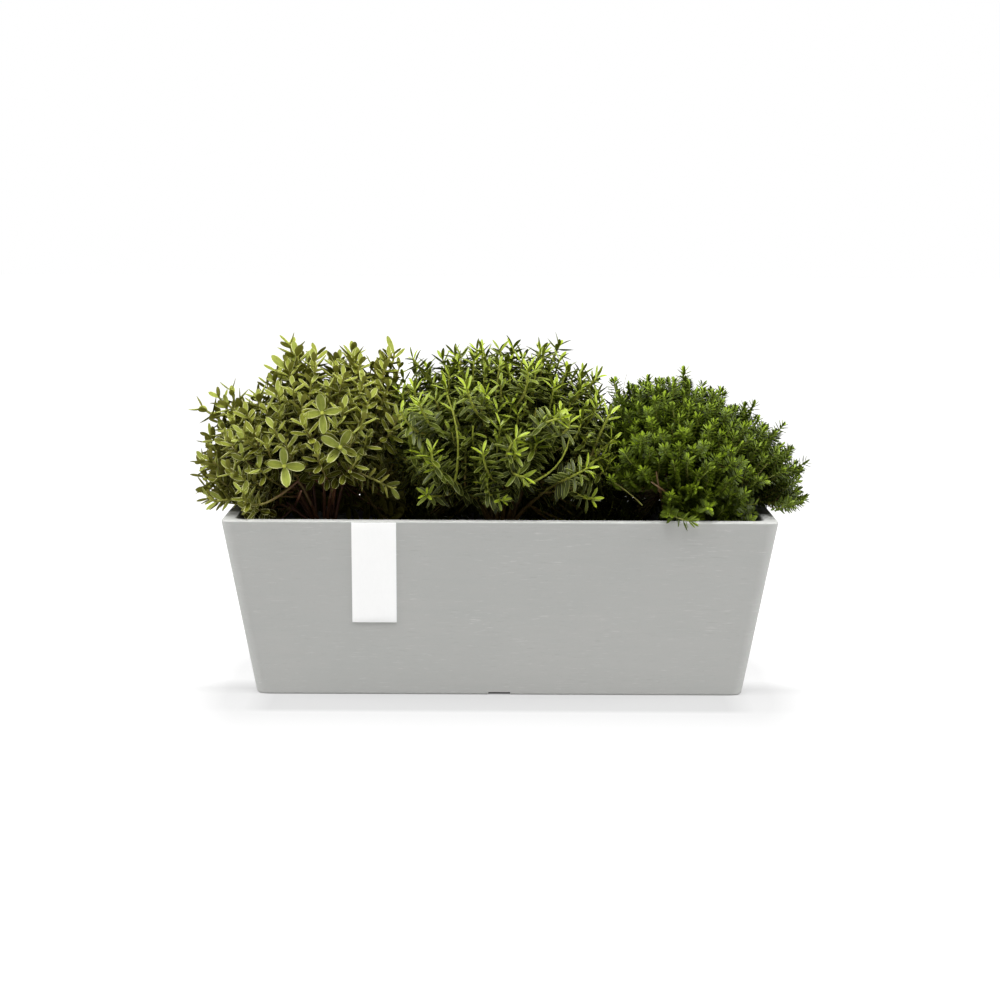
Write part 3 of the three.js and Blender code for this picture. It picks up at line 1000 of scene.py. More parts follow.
@dataclass(frozen=True)
class LeafForm:
    """The form of one leaf: its outline, fold and arch."""

    name: str
    length: float
    width: float
    rows: int
    belly: float
    blunt: float
    fold: float
    arch: float
    thickness: float
    foot_share: float = 0.24

    def share(self, row: int) -> float:
        """Share of the length at which a row lies, closer together near the tip."""
        return 1 - (1 - row / self.rows) ** 1.4

    def half_width(self, share: float) -> float:
        """Half the leaf's width at a share of its length, from its foot.

        Args:
            share: Share of the length.

        Returns:
            Half the width.
        """
        if share <= self.belly:
            rise = math.sin(math.pi / 2 * share / self.belly) ** 0.8
            return self.width / 2 * (self.foot_share + (1 - self.foot_share) * rise)
        fall = (share - self.belly) / (1 - self.belly)
        return self.width / 2 * max(0.02, 1 - fall**self.blunt) ** 0.6

    def model(self) -> Cast:
        """Model the blade row by row from a grid, and close it with an underside.

        Returns:
            The leaf, ready for copying.
        """
        near = 0.01 * MM
        Bench.clear()
        bpy.ops.mesh.primitive_grid_add(
            x_subdivisions=2, y_subdivisions=self.rows, size=1, location=(0, 1, 0)
        )
        blade = Bench.name(self.name)
        Bench.settle(blade)
        Bench.edit()
        for row in range(self.rows + 1):
            share = self.share(row)
            old, new = 0.5 + row / self.rows, share * self.length
            Bench.pick(Part.VERT, lambda v, y=old: abs(v.co.y - y) < near)
            Bench.resize((2 * self.half_width(share), 1, 1), (0, old, 0))
            rise = -self.arch * share**2
            bpy.ops.transform.translate(value=(0, new - old, rise))
            Bench.pick(Part.VERT, lambda v, y=new: abs(v.co.y - y) < near and abs(v.co.x) < near)
            sunk = self.fold * math.sin(math.pi * min(1, share + 0.12))
            bpy.ops.transform.translate(value=(0, 0, -sunk))
        bpy.ops.mesh.select_all(action="SELECT")
        bpy.ops.mesh.duplicate()
        bpy.ops.mesh.flip_normals()
        end = self.length - near
        Bench.pick(Part.VERT, lambda v: v.select and abs(v.co.x) < near and near < v.co.y < end)
        bpy.ops.transform.translate(value=(0, 0, -self.thickness))
        bpy.ops.mesh.select_all(action="SELECT")
        bpy.ops.mesh.remove_doubles(threshold=near)
        return Cast.take(blade, self.length)


@dataclass(frozen=True)
class TwigForm:
    """A straight round twig of unit length and radius, to be bent along lines."""

    sides: int
    rings: int

    def model(self) -> Cast:
        """Model the twig ring by ring from a disc.

        Returns:
            The twig, ready for bending.
        """
        Bench.clear()
        bpy.ops.mesh.primitive_circle_add(vertices=self.sides, radius=1, fill_type="NGON")
        twig = Bench.name("straight_twig")
        Bench.edit()
        bpy.ops.mesh.select_all(action="SELECT")
        for _ in range(self.rings):
            Bench.extrude((0, 0, 1 / self.rings))
        Bench.face_out()
        taken = Cast.take(twig, 1)
        taken.uv[:] = 0.5
        taken.beneath = [0.0] * len(taken.faces)
        return taken


@dataclass(frozen=True)
class BudForm:
    """A closed bud that stands at the end of a shoot."""

    radius: float
    length: float

    def model(self) -> Cast:
        """Model the bud from a small ball drawn out along +Y.

        Returns:
            The bud, ready for copying.
        """
        Bench.clear()
        bpy.ops.mesh.primitive_uv_sphere_add(segments=8, ring_count=6, radius=self.radius)
        bud = Bench.name("closed_bud")
        Bench.edit()
        Bench.pick(Part.VERT, lambda v: v.co.z > 1e-6)
        Bench.resize((0.8, 0.8, self.length / self.radius))
        Bench.clear()
        bud.rotation_euler = (-math.pi / 2, 0, 0)
        Bench.settle(bud)
        taken = Cast.take(bud, self.length)
        taken.uv[:, 0] = 0.5
        taken.beneath = [0.4] * len(taken.faces)
        return taken


@dataclass
class Line:
    """A curved line from a foot over a bend to a tip."""

    foot: Vector
    bend: Vector
    tip: Vector

    def at(self, t: float) -> Vector:
        """Place at a share of the line."""
        return self.foot * (1 - t) ** 2 + self.bend * (2 * t * (1 - t)) + self.tip * t**2

    def heading(self, t: float) -> Vector:
        """Direction of the line at a share of it."""
        return ((self.bend - self.foot) * (1 - t) + (self.tip - self.bend) * t).normalized()

    def length(self) -> float:
        """Length of the line."""
        points = [self.at(k / 16) for k in range(17)]
        return sum((b - a).length for a, b in zip(points, points[1:]))


def clamp(value: float) -> float:
    """Keep a value between 0 and 1."""
    return min(1.0, max(0.0, value))


def square_to(way: Vector, hint: Vector) -> tuple[Vector, Vector]:
    """Two directions square to a way and to each other.

    Args:
        way: The direction that both are square to.
        hint: A direction that the first one keeps close to.

    Returns:
        The two directions.
    """
    first = hint - way * hint.dot(way)
    if first.length < 1e-4:
        other = Vector((1, 0, 0)) if abs(way.x) < 0.9 else Vector((0, 1, 0))
        first = other - way * other.dot(way)
    first.normalize()
    return first, way.cross(first)


@dataclass
class Growth:
    """Mesh of one piece of a shrub, gathered twig by twig and leaf by leaf."""

    points: list[np.ndarray] = field(default_factory=list)
    faces: list[tuple[int, ...]] = field(default_factory=list)
    slots: list[int] = field(default_factory=list)
    beneath: list[float] = field(default_factory=list)
    chance: list[float] = field(default_factory=list)
    youth: list[float] = field(default_factory=list)
    uv: list[np.ndarray] = field(default_factory=list)
    count: int = 0
    leaves: int = 0

    def add(
        self, cast: Cast, points: np.ndarray, slot: int, chance: float, youth: Iterable[float]
    ) -> None:
        """Add a copy of a shape.

        Args:
            cast: The shape.
            points: Where its points go.
            slot: Its material's number.
            chance: 0 for an old colour to 1 for a fresh one; on leaves it also holds painted light
                and shade.
            youth: How young each point is, 0 to 1.
        """
        self.faces.extend(tuple(v + self.count for v in face) for face in cast.faces)
        self.slots.extend([slot] * len(cast.faces))
        self.beneath.extend(cast.beneath)
        self.points.append(points)
        self.uv.append(cast.uv)
        self.chance.extend([chance] * len(points))
        self.youth.extend(youth)
        self.count += len(points)

    def twig(
        self,
        cast: Cast,
        line: Line,
        span: Pair,
        radii: Pair,
        youth: Pair,
        chance: float,
    ) -> None:
        """Bend a copy of a straight twig along part of a line.

        Args:
            cast: The straight twig.
            line: The line.
            span: Where the twig starts and ends on it.
            radii: Its radius at the two ends.
            youth: How green it is at the two ends, 0 to 1.
            chance: A number from 0 to 1 that varies its colour.
        """
        moved = np.zeros_like(cast.points)
        shares = np.round(cast.points[:, 2], 5)
        hint = Vector((0, 0, 1))
        for share in sorted(set(shares.tolist())):
            t = span[0] + (span[1] - span[0]) * share
            first, second = square_to(line.heading(t), hint)
            hint = first
            radius = radii[0] + (radii[1] - radii[0]) * share
            ring = shares == share
            flat = cast.points[ring][:, :2] * radius
            turned = flat[:, :1] * np.array(first) + flat[:, 1:] * np.array(second)
            moved[ring] = turned + np.array(line.at(t))
        greens = youth[0] + (youth[1] - youth[0]) * shares
        self.add(cast, moved, 0, chance, greens.tolist())

    def piece(self, name: str) -> Piece:
        """Make the gathered mesh an object.

        Args:
            name: The object's name.

        Returns:
            The object.
        """
        mesh = bpy.data.meshes.new(name)
        mesh.from_pydata(np.vstack(self.points).tolist(), [], self.faces)
        for label, domain, values in (
            ("chance", "POINT", self.chance),
            ("youth", "POINT", self.youth),
            ("beneath", "FACE", self.beneath),
        ):
            layer = mesh.attributes.new(label, "FLOAT", domain)
            layer.data.foreach_set("value", values)
        corners = np.zeros(len(mesh.loops), np.int32)
        mesh.loops.foreach_get("vertex_index", corners)
        layer = mesh.uv_layers.new(name="leaf")
        layer.uv.foreach_set("vector", np.vstack(self.uv)[corners].astype(np.float32).ravel())
        piece = bpy.data.objects.new(name, mesh)
        bpy.context.scene.collection.objects.link(piece)
        Bench.smooth(piece, 60)
        return piece


@dataclass(frozen=True)
class Habit:
    """How a shrub grows: the sizes of its twigs and leaves, and how they stand."""

    tip_radius: float
    side_radius: float
    sprays: tuple[Pair, ...]
    side_length: float
    pair_pitch: float
    low_lift: float
    young_pairs: float
    young_size: float
    seek_up: float
    skirt: float
    skirt_ends: Pair
    wood_share: float = 0.32
    base_radius: float = 2.2 * MM
    tip_lift: float = 62
    tip_run: float = 8 * MM
    bud_size: float = 0
    gap_share: float = 0.8
    crowding: float = 1.25
    ragged: Pair = (0.93, 1.04)

    def radius_at(self, share: float) -> float:
        """Radius of a main shoot at a share of its line."""
        return self.base_radius + (self.tip_radius - self.base_radius) * share


@dataclass(frozen=True)
class Sprig:
    """A single side shoot of a main shoot: its tip and length in mm, and how its tip points."""

    owner: int
    tip: Place
    way: Place
    length: float
    hangs: bool = False
    leaf: float = 1
    turn: float | None = None


@dataclass(frozen=True)
class Stray:
    """A bare twig or dry wisp in a main shoot's piece: three places and a radius in mm."""

    owner: int
    foot: Place
    bend: Place
    tip: Place
    radius: float
    youth: float


@dataclass(frozen=True)
class Manner:
    """How one shoot differs from the shrub's others.

    One that must grow also has leaves in the gaps. The turn of its pairs is left to chance where
    none is given.
    """

    opened: float = 0
    hangs: bool = False
    must: bool = False
    leaf: float = 1
    turn: float | None = None


@dataclass
class Shrub:
    """One shrub: its woody stems and its leafy shoots with their side shoots.

    Tips are in mm from the rim above its root, and hollows in mm from the origin: their place
    along the trough, height and radius. A faced main shoot turns its rosette to the front.
    """

    trough: Trough
    label: CardLabel
    name: str
    root_x: float
    low_x: float
    high_x: float
    tips: tuple[Place, ...]
    sprigs: tuple[Sprig, ...]
    strays: tuple[Stray, ...]
    hollows: tuple[Place, ...]
    habit: Habit
    form: LeafForm
    seed: int
    bark: Bark
    skin: LeafSkin
    faced: tuple[Pair, ...] = ()
    front_reach: float = 81 * MM
    tries: int = 5000

    # Main shoots, from the collar to their tips
    soil_below_rim: float = 24 * MM
    soil_mound: float = 3 * MM
    crown_below_rim: float = 8 * MM
    collar_radii: Pair = (11.5 * MM, 9 * MM)
    stem_spread: float = 8 * MM
    bend_reach: float = 0.35
    bend_rise: float = 0.62
    bend_over_rim: float = 22 * MM
    faced_back: Place = (0, 46, 4)
    faced_leaf: float = 1.16

    # What leaves keep clear of
    clearance: float = 1.2 * MM
    rim_clearance: float = 5 * MM
    end_droop: float = 5 * MM
    label_headroom: float = 8 * MM
    border_wave: float = 12 * MM
    border_step: float = 11 * MM
    border_margin: float = 6 * MM

    # How far the canopy reaches, with less reach low at the front
    back_reach: float = 90 * MM
    reach_focus: float = 16
    low_front: float = 0.74
    full_front_rise: float = 2.2
    lowest_rise: float = -0.02
    over_soil: float = 8 * MM
    over_end: float = 13 * MM
    end_margin: float = 8 * MM
    end_zone: float = 10 * MM

    # The dim gap along the front rim, the hollows and the space before a rosette
    skirt_front: float = 20 * MM
    skirt_chance: float = 0.97
    gap_front: float = 10 * MM
    gap_chance: float = 0.88
    hollow_front: float = 25 * MM
    hollow_edge: Pair = (0.75, 1.1)
    rosette_room: float = 17 * MM
    rosette_depth: float = 12 * MM

    # Side shoots
    forks: int = 24
    side_lengths: Pair = (0.85, 1.25)
    side_taper: float = 0.7
    side_vigour: Pair = (0.3, 1)
    inner_vigour: float = 0.4
    sprig_girth: Pair = (1.3, 0.9)
    upright_height: float = 60 * MM
    sway: float = 0.22
    stout_from: float = 1.1 * MM
    least_room: float = 0.6
    least_bare: float = 0.06

    # Leaves
    leaf_turn: float = 0.16
    leaf_tilt: float = 8
    leaf_sizes: Pair = (0.86, 1.12)
    leaf_widths: Pair = (0.88, 1.1)
    shrinks: tuple[float, ...] = (1, 0.7, 0.48)
    light_seeking: float = 0.4
    hanging_pitch: float = 1.7
    # Painted light and shade: brighter leaf colour high up and at the canopy's outside, darker low
    # and deep inside.
    painted_light_height: float = 125 * MM
    painted_shade_depth: float = 0.7
    painted_light_and_shade_shares: Place = (-0.08, 0.35, 0.45)

    def __post_init__(self) -> None:
        """Set up the shrub's random numbers, its small shapes and its main lines."""
        self.random = np.random.default_rng(self.seed)
        flatter = replace(self.form, arch=0.3 * self.form.arch, fold=1.6 * self.form.fold)
        self.leaves = [self.form.model(), flatter.model()]
        self.stout = TwigForm(8, 10).model()
        self.thin = TwigForm(5, 6).model()
        self.bud = BudForm(1.3 * MM, 3.2 * MM).model()
        self.rim = self.trough.height
        self.rim_end = self.trough.inner_half(self.rim)[0]
        self.soil_top = self.rim - self.soil_below_rim + self.soil_mound
        self.crown = Vector((self.root_x, 0, self.rim - self.crown_below_rim))
        self.lines = [self._main_line(tip) for tip in self.tips]

    def _main_line(self, tip: Place) -> Line:
        """The line of a main shoot, from the collar to its tip.

        Args:
            tip: Tip to the right, to the back and above the rim, in millimetres.

        Returns:
            The shoot's line.
        """
        right, back, up = (value * MM for value in tip)
        way = Vector((right, back, 0)).normalized()
        foot = Vector((self.root_x, 0, self.soil_top)) + way * self.stem_spread
        end = Vector((self.root_x + right, back, self.rim + up))
        bend = foot.lerp(end, self.bend_reach)
        bend.z = max(foot.z + self.bend_rise * (end.z - foot.z), self.rim + self.bend_over_rim)
        return Line(foot, bend, end)

    def _reach(self, way: Vector) -> float:
        """How far the canopy reaches from the crown in a direction, by the main tips near it.

        Args:
            way: Direction from the crown.

        Returns:
            The distance.
        """
        total = 0.0
        weight = 0.0
        for line in self.lines:
            tip = line.tip - self.crown
            near = math.exp(self.reach_focus * (tip.normalized().dot(way) - 1))
            total += near * tip.length
            weight += near
        bound = self.back_reach
        if way.y < 0:
            rise = clamp(self.full_front_rise * way.z)
            bound = self.front_reach * (self.low_front + (1 - self.low_front) * rise)
        return min(total / weight, bound / max(abs(way.y), 1e-6))

    def _wave(self, y: float | np.ndarray) -> float | np.ndarray:
        """How far the borders between shrubs are pushed along the trough at a depth."""
        return self.border_wave * np.sin(y / self.border_step)

    def _targets(self, share: float, spacing: float) -> list[Vector]:
        """Places for the tips of side shoots, spread over a shell of the canopy.

        Args:
            share: Share of the canopy's reach at which the shell lies.
            spacing: Least distance between two places.

        Returns:
            The places.
        """
        low, high = self.low_x + self.border_margin, self.high_x - self.border_margin
        found = np.empty((0, 3))
        for _ in range(self.tries):
            rise = self.random.uniform(self.lowest_rise, 1)
            turn = self.random.uniform(0, math.tau)
            flat = math.sqrt(max(0.0, 1 - rise * rise))
            way = Vector((flat * math.cos(turn), flat * math.sin(turn), rise))
            reach = self._reach(way) * share * self.random.uniform(*self.habit.ragged)
            place = self.crown + way * reach
            wave = self._wave(place.y)
            place.x = min(max(place.x, low + wave), high + wave)
            past_end = abs(place.x) > self.rim_end - self.end_margin
            floor = self.rim + self.over_end if past_end else self.soil_top + self.over_soil
            place.z = max(place.z, floor)
            if self._in_gap(place, 1, self.skirt_front) and (
                share > 0.8 or self.random.random() < self.skirt_chance
            ):
                continue
            if len(found) and np.min(np.sum((found - np.array(place)) ** 2, 1)) < spacing**2:
                continue
            found = np.vstack([found, np.array(place)])
        return [Vector(place) for place in found.tolist()]

    def _in_gap(self, place: Vector, share: float, front: float) -> bool:
        """Whether a place lies in the dim gap under the canopy along the front rim.

        Args:
            place: The place.
            share: Share of the gap's height that counts.
            front: How far back the gap runs.

        Returns:
            True in the gap.
        """
        low_end, high_end = self.habit.skirt_ends
        low = place.z < self.rim + share * self.habit.skirt and place.y < front
        return low and low_end < place.x < high_end

    def _in_way(self, place: Vector) -> bool:
        """Whether a leaf would fill a gap or a hollow, or hide a faced rosette.

        Args:
            place: Place of the leaf.

        Returns:
            True where it would.
        """
        if self._in_gap(place, self.habit.gap_share, self.gap_front):
            return bool(self.random.random() < self.gap_chance)
        for x, z, radius in self.hollows:
            aside = math.hypot(place.x / MM - x, place.z / MM - z)
            if place.y < -self.hollow_front:
                if aside < radius * self.random.uniform(*self.hollow_edge):
                    return True
        for number, _ in self.faced:
            off = place - self.lines[number - 1].tip
            if math.hypot(off.x, off.z) < self.rosette_room and off.y < self.rosette_depth:
                return True
        return False

    def _fork(self, main: Line, below: Vector, low: float, high: float) -> Vector:
        """Place of a main shoot, between two shares of it, that is nearest to a point."""
        shares = np.linspace(low, high, self.forks)
        return main.at(min(shares, key=lambda share: (main.at(share) - below).length))

    def _side_line(self, main: Line, target: Vector) -> tuple[Line, float]:
        """A side shoot that leaves a main shoot inside the canopy and points out at its tip.

        Args:
            main: The main shoot.
            target: Where the side shoot ends.

        Returns:
            The side shoot's line and the share of it at which its leaves start.
        """
        leafy = self.habit.side_length * self.random.uniform(*self.side_lengths)
        upward = self.habit.seek_up
        if abs(target.x) > self.rim_end - self.end_zone:
            upward *= clamp((target.z - self.rim) / self.upright_height)
        out = (target - self.crown).normalized() + Vector((0, 0, upward))
        wave = self._wave(target.y)
        spare = min(target.x - self.low_x - wave, self.high_x + wave - target.x)
        out.x *= clamp(spare / (2.5 * self.border_margin) - 0.3)
        sway = Vector(self.random.uniform(-self.sway, self.sway, 3).tolist())
        out = (out.normalized() + sway).normalized()
        foot = self._fork(main, target - out * leafy * 1.1, self.habit.wood_share, 0.92)
        side = Line(foot, target - out * (target - foot).length * 0.5, target)
        return side, max(self.least_bare, 1 - leafy / side.length())

    def _sprig_line(self, main: Line, sprig: Sprig) -> tuple[Line, float]:
        """The line of a sprig from its main shoot, and the share at which its leaves start.

        Args:
            main: The main shoot's line.
            sprig: The sprig.

        Returns:
            The line and the share.
        """
        tip = Vector(sprig.tip) * MM
        way = Vector(sprig.way).normalized()
        leafy = sprig.length * MM
        foot = self._fork(main, tip - way * leafy, self.habit.wood_share, 0.95)
        side = Line(foot, tip - way * (tip - foot).length * 0.6, tip)
        return side, max(self.least_bare, 1 - leafy / side.length())

    def _stays_clear(self, points: np.ndarray, hangs: bool) -> bool:
        """Whether a leaf keeps off the next shrub, the soil, the rim and the label's way up.

        Args:
            points: The leaf's points.
            hangs: Whether it may hang down outside the front rim.

        Returns:
            True where the leaf has room.
        """
        x, y, z = points.T
        over = self.clearance
        wave = self._wave(y)
        if np.any(x < self.low_x + wave + over) or np.any(x > self.high_x + wave - over):
            return False
        if z.min() < self.soil_top + over:
            return False
        top = self.rim
        outer_x, outer_y = self.trough.outer_half(top)
        inner_x, inner_y = self.trough.inner_half(np.minimum(z, top))
        inside = (np.abs(x) < inner_x - over) & (np.abs(y) < inner_y - over)
        beyond = (np.abs(x) > outer_x + over) & (z > top - self.end_droop)
        if hangs:
            beyond |= np.abs(y) > outer_y + over
        near_rim = z < top + (over if hangs else self.rim_clearance)
        if np.any(near_rim & ~inside & ~beyond):
            return False
        slope = self.trough.side_draft / top
        line = -(self.trough.inner_half(top)[1] - 2 * over) - slope * (z - top)
        beside = np.abs(x - self.label.centre_x) < self.label.width / 2 + over
        in_way = beside & (y < line) & (z < top + self.label.length + self.label_headroom)
        return not bool(np.any(in_way))

    def _depth(self, place: Vector) -> float:
        """How near a place is to the canopy's outside, 0 at the crown to 1."""
        way = place - self.crown
        return min(1.0, way.length / self._reach(way.normalized()))

    def _leaf_axes(
        self, way: Vector, radial: Vector, lift: float, youth: float
    ) -> tuple[Vector, Vector, Vector]:
        """Axes of a leaf. The older it is, the more its face turns up to the light.

        Args:
            way: Direction of the shoot.
            radial: Direction to the side that the leaf grows to.
            lift: How far it leans to the shoot's tip, in degrees.
            youth: How young it is, 0 to 1.

        Returns:
            The directions across the leaf, along it and out of its face.
        """
        tilt = math.radians(lift + self.random.uniform(-self.leaf_tilt, self.leaf_tilt))
        along = radial * math.cos(tilt) + way * math.sin(tilt)
        normal = way * math.cos(tilt) - radial * math.sin(tilt)
        normal = (normal + Vector((0, 0, self.light_seeking)) * (1 - youth)).normalized()
        across = along.cross(normal).normalized()
        return across, along, across.cross(along)

    def _painted_light_and_shade(self, place: Vector) -> float:
        """Painted light and shade of the leaves at a place: brighter high up and at the canopy's
        outside, darker low and deep inside.

        Args:
            place: Where they grow.

        Returns:
            The painted light and shade, which the leaf's skin reads through its chance attribute.
        """
        above = clamp((place.z - self.rim) / self.painted_light_height)
        outer = clamp((self._depth(place) - self.painted_shade_depth) / 0.28)
        low, outside, high = self.painted_light_and_shade_shares
        return outside * outer + high * above**1.3 + low

    def _leaf_places(
        self, line: Line, start: float, manner: Manner, turn: float
    ) -> tuple[list[tuple[Cast, np.ndarray, float, float]], float]:
        """Places of crossed pairs of leaves along a line, up to its tip.

        Args:
            line: The line.
            start: Share of the line at which the leaves start.
            manner: How the shoot differs from others.
            turn: Turn of the last pair about the line.

        Returns:
            Each leaf's shape, points, chance and youth, and the share of leaves that had room.
        """
        habit = self.habit
        pitch = habit.pair_pitch * (self.hanging_pitch if manner.hangs else 1)
        pairs = max(3, round(line.length() * (1 - start) * habit.crowding / pitch))
        hint = Vector((0, 0, 1))
        shoot = 0.15 * self.random.uniform(0, 1)
        tip_lift = habit.tip_lift * (1 - 0.72 * manner.opened)
        small = habit.young_size + (0.97 - habit.young_size) * manner.opened
        placed = []
        for k in range(pairs + 1):
            t = start + (1 - start) * (1 - (1 - k / pairs) ** habit.crowding)
            place, way = line.at(t), line.heading(t)
            first, second = square_to(way, hint)
            hint = first
            youth = max(0.0, 1 - (pairs - k) / habit.young_pairs)
            lift = habit.low_lift + (tip_lift - habit.low_lift) * youth**1.3
            size = manner.leaf * (1 - (1 - small) * youth**1.8)
            # Painted light and shade, added to a chance for each shoot.
            fresh = shoot + self._painted_light_and_shade(place)
            for side in (0, 1):
                angle = turn + ((pairs - k) % 2) * math.pi / 2 + side * math.pi
                angle += self.random.uniform(-self.leaf_turn, self.leaf_turn)
                radial = first * math.cos(angle) + second * math.sin(angle)
                across, along, normal = self._leaf_axes(way, radial, lift, youth)
                if not manner.must and self._in_way(place):
                    continue
                grown = size * self.random.uniform(*self.leaf_sizes)
                wide = grown * self.random.uniform(*self.leaf_widths)
                foot = np.array(place + radial * habit.tip_radius * 0.3)
                cast = self.leaves[int(self.random.integers(len(self.leaves)))]
                axes = np.column_stack([across * wide, along * grown, normal * grown])
                chance = clamp(fresh + 0.25 * self.random.uniform(0, 1))
                for shrunk in self.shrinks:
                    moved = cast.points @ (axes * shrunk).T + foot
                    if self._stays_clear(moved, manner.hangs):
                        placed.append((cast, moved, chance, youth))
                        break
        return placed, len(placed) / (2 * pairs + 2)

    def _spray(
        self,
        growth: Growth,
        line: Line,
        span: Pair,
        radii: Pair,
        fresh: float,
        manner: Manner = Manner(),
    ) -> None:
        """Add a shoot with its twig and its leaves, where it has room.

        Args:
            growth: The mesh to add to.
            line: The shoot's line.
            span: Shares of the line at which the twig and the leaves start.
            radii: Radius of the twig at its foot and its tip.
            fresh: How bright the tip is, 0 to 1.
            manner: How the shoot differs from others.
        """
        turn = manner.turn
        if turn is None:
            turn = 0.0 if manner.hangs else self.random.uniform(0, math.pi)
        placed, room = self._leaf_places(line, span[1], manner, turn)
        path = np.array([line.at(t) for t in np.linspace(0.3, 1, 8)])
        fits = room >= self.least_room and self._stays_clear(path, manner.hangs)
        if not (manner.must or fits):
            return
        twig = self.stout if manner.must or radii[0] > self.stout_from else self.thin
        greens = (0.15, 0.4 + 0.6 * fresh)
        growth.twig(twig, line, (span[0], 1), radii, greens, self.random.random())
        for cast, moved, chance, youth in placed:
            growth.add(cast, moved, 1, chance, [youth * fresh] * len(moved))
        growth.leaves += len(placed)
        if self.habit.bud_size:
            way = line.heading(1)
            first, second = square_to(way, Vector((0, 0, 1)))
            size = self.habit.bud_size * (1 + 1.4 * manner.opened)
            axes = np.column_stack([first * size, way * size, second * size])
            moved = self.bud.points @ axes.T + np.array(line.at(1))
            growth.add(self.bud, moved, 1, 1, [1.0] * len(moved))

    def _finish(
        self, growth: Growth, piece: str, slot: str, node: str, materials: Sequence[Material]
    ) -> None:
        """Make a gathered mesh a piece of the shrub and dress it.

        Args:
            growth: The gathered mesh.
            piece: The piece's name after the shrub's.
            slot: The material slot's name after the shrub's.
            node: Name of the node that it stands for, after the shrub's.
            materials: The bark's and the leaves' materials.
        """
        made = growth.piece(f"{self.name}_{piece}")
        body = f"{self.name}_shrub"
        nodes = [f"{self.name}_{node}"]
        Bench.finish(made, body, Slot(f"{self.name}_{slot}"), nodes, materials, growth.slots)

    def _woody_stems(self, materials: Sequence[Material]) -> None:
        """Model the collar and the bare lower part of every stem.

        Args:
            materials: Bark and leaf skin.
        """
        habit = self.habit
        growth = Growth()
        radii = (habit.base_radius * 1.15, habit.radius_at(habit.wood_share))
        for line in self.lines:
            chance = self.random.random()
            growth.twig(self.stout, line, (0, habit.wood_share), radii, (0, 0.1), chance)
        root = Vector((self.root_x, 0, self.soil_top))
        up = Vector((0, 0, MM))
        collar = Line(root - up * 8, root - up * 2, root + up * 3)
        growth.twig(self.stout, collar, (0, 1), self.collar_radii, (0, 0), 0.4)
        self._finish(growth, "woody_stems", "bark", "stems", materials)

    def _share_out(self) -> list[list[tuple[Vector, float]]]:
        """Give each place of every shell to the main shoot that points nearest to it.

        Returns:
            For each main shoot, its places and their shells' shares.
        """
        owned: list[list[tuple[Vector, float]]] = [[] for _ in self.lines]
        ways = [(line.tip - self.crown).normalized() for line in self.lines]
        for share, spacing in self.habit.sprays:
            for target in self._targets(share, spacing):
                way = (target - self.crown).normalized()
                best = max(range(len(ways)), key=lambda i: ways[i].dot(way))
                owned[best].append((target, share))
        return owned

    def _main_shoot(self, growth: Growth, number: int, main: Line) -> None:
        """Add a main shoot from its wood to its tip, which may face the front.

        Args:
            growth: Mesh that it is added to.
            number: Its number, from 1.
            main: Its line.
        """
        habit = self.habit
        wood = habit.wood_share
        radii = (habit.radius_at(wood), habit.tip_radius)
        turn = dict(self.faced).get(number)
        if turn is None:
            end = main.tip + main.heading(1) * habit.tip_run
            line = Line(main.foot, main.bend, end)
            self._spray(growth, line, (wood, max(wood, 0.4)), radii, 1, Manner(must=True))
        else:
            line = Line(main.at(wood), main.tip + Vector(self.faced_back) * MM, main.tip)
            manner = Manner(1, must=True, leaf=self.faced_leaf, turn=turn)
            self._spray(growth, line, (0, 0.4), radii, 1, manner)

    def _leafy_shoots(self, materials: Sequence[Material]) -> None:
        """Model every leafy shoot with its side shoots.

        Args:
            materials: Bark and leaf skin.
        """
        side_radius = self.habit.side_radius
        total = 0
        for number, (main, targets) in enumerate(zip(self.lines, self._share_out()), 1):
            growth = Growth()
            self._main_shoot(growth, number, main)
            radii = (side_radius, side_radius * self.side_taper)
            for target, share in targets:
                side, leafy = self._side_line(main, target)
                vigour = self.random.uniform(*self.side_vigour)
                vigour *= 1 if share > 0.9 else self.inner_vigour
                self._spray(growth, side, (0, leafy), radii, vigour)
            radii = tuple(side_radius * girth for girth in self.sprig_girth)
            for sprig in self.sprigs:
                if sprig.owner == number:
                    side, leafy = self._sprig_line(main, sprig)
                    manner = Manner(0, sprig.hangs, True, sprig.leaf, sprig.turn)
                    self._spray(growth, side, (0, leafy), radii, 1, manner)
            for stray in self.strays:
                if stray.owner == number:
                    line = Line(*(Vector(at) * MM for at in (stray.foot, stray.bend, stray.tip)))
                    radius = stray.radius * MM
                    ages = (stray.youth, stray.youth)
                    growth.twig(self.thin, line, (0, 1), (radius, radius * 0.5), ages, 0.5)
            total += growth.leaves
            names = (f"leafy_shoot_{number:02d}", "leaves", f"shoot_{number:02d}")
            self._finish(growth, *names, materials)
        LOG.info("%s shrub: %d leaves", self.name, total)

    def build(self) -> None:
        """Model the shrub above its root ball."""
        materials = (self.bark.build(), self.skin.build())
        self._woody_stems(materials)
        self._leafy_shoots(materials)


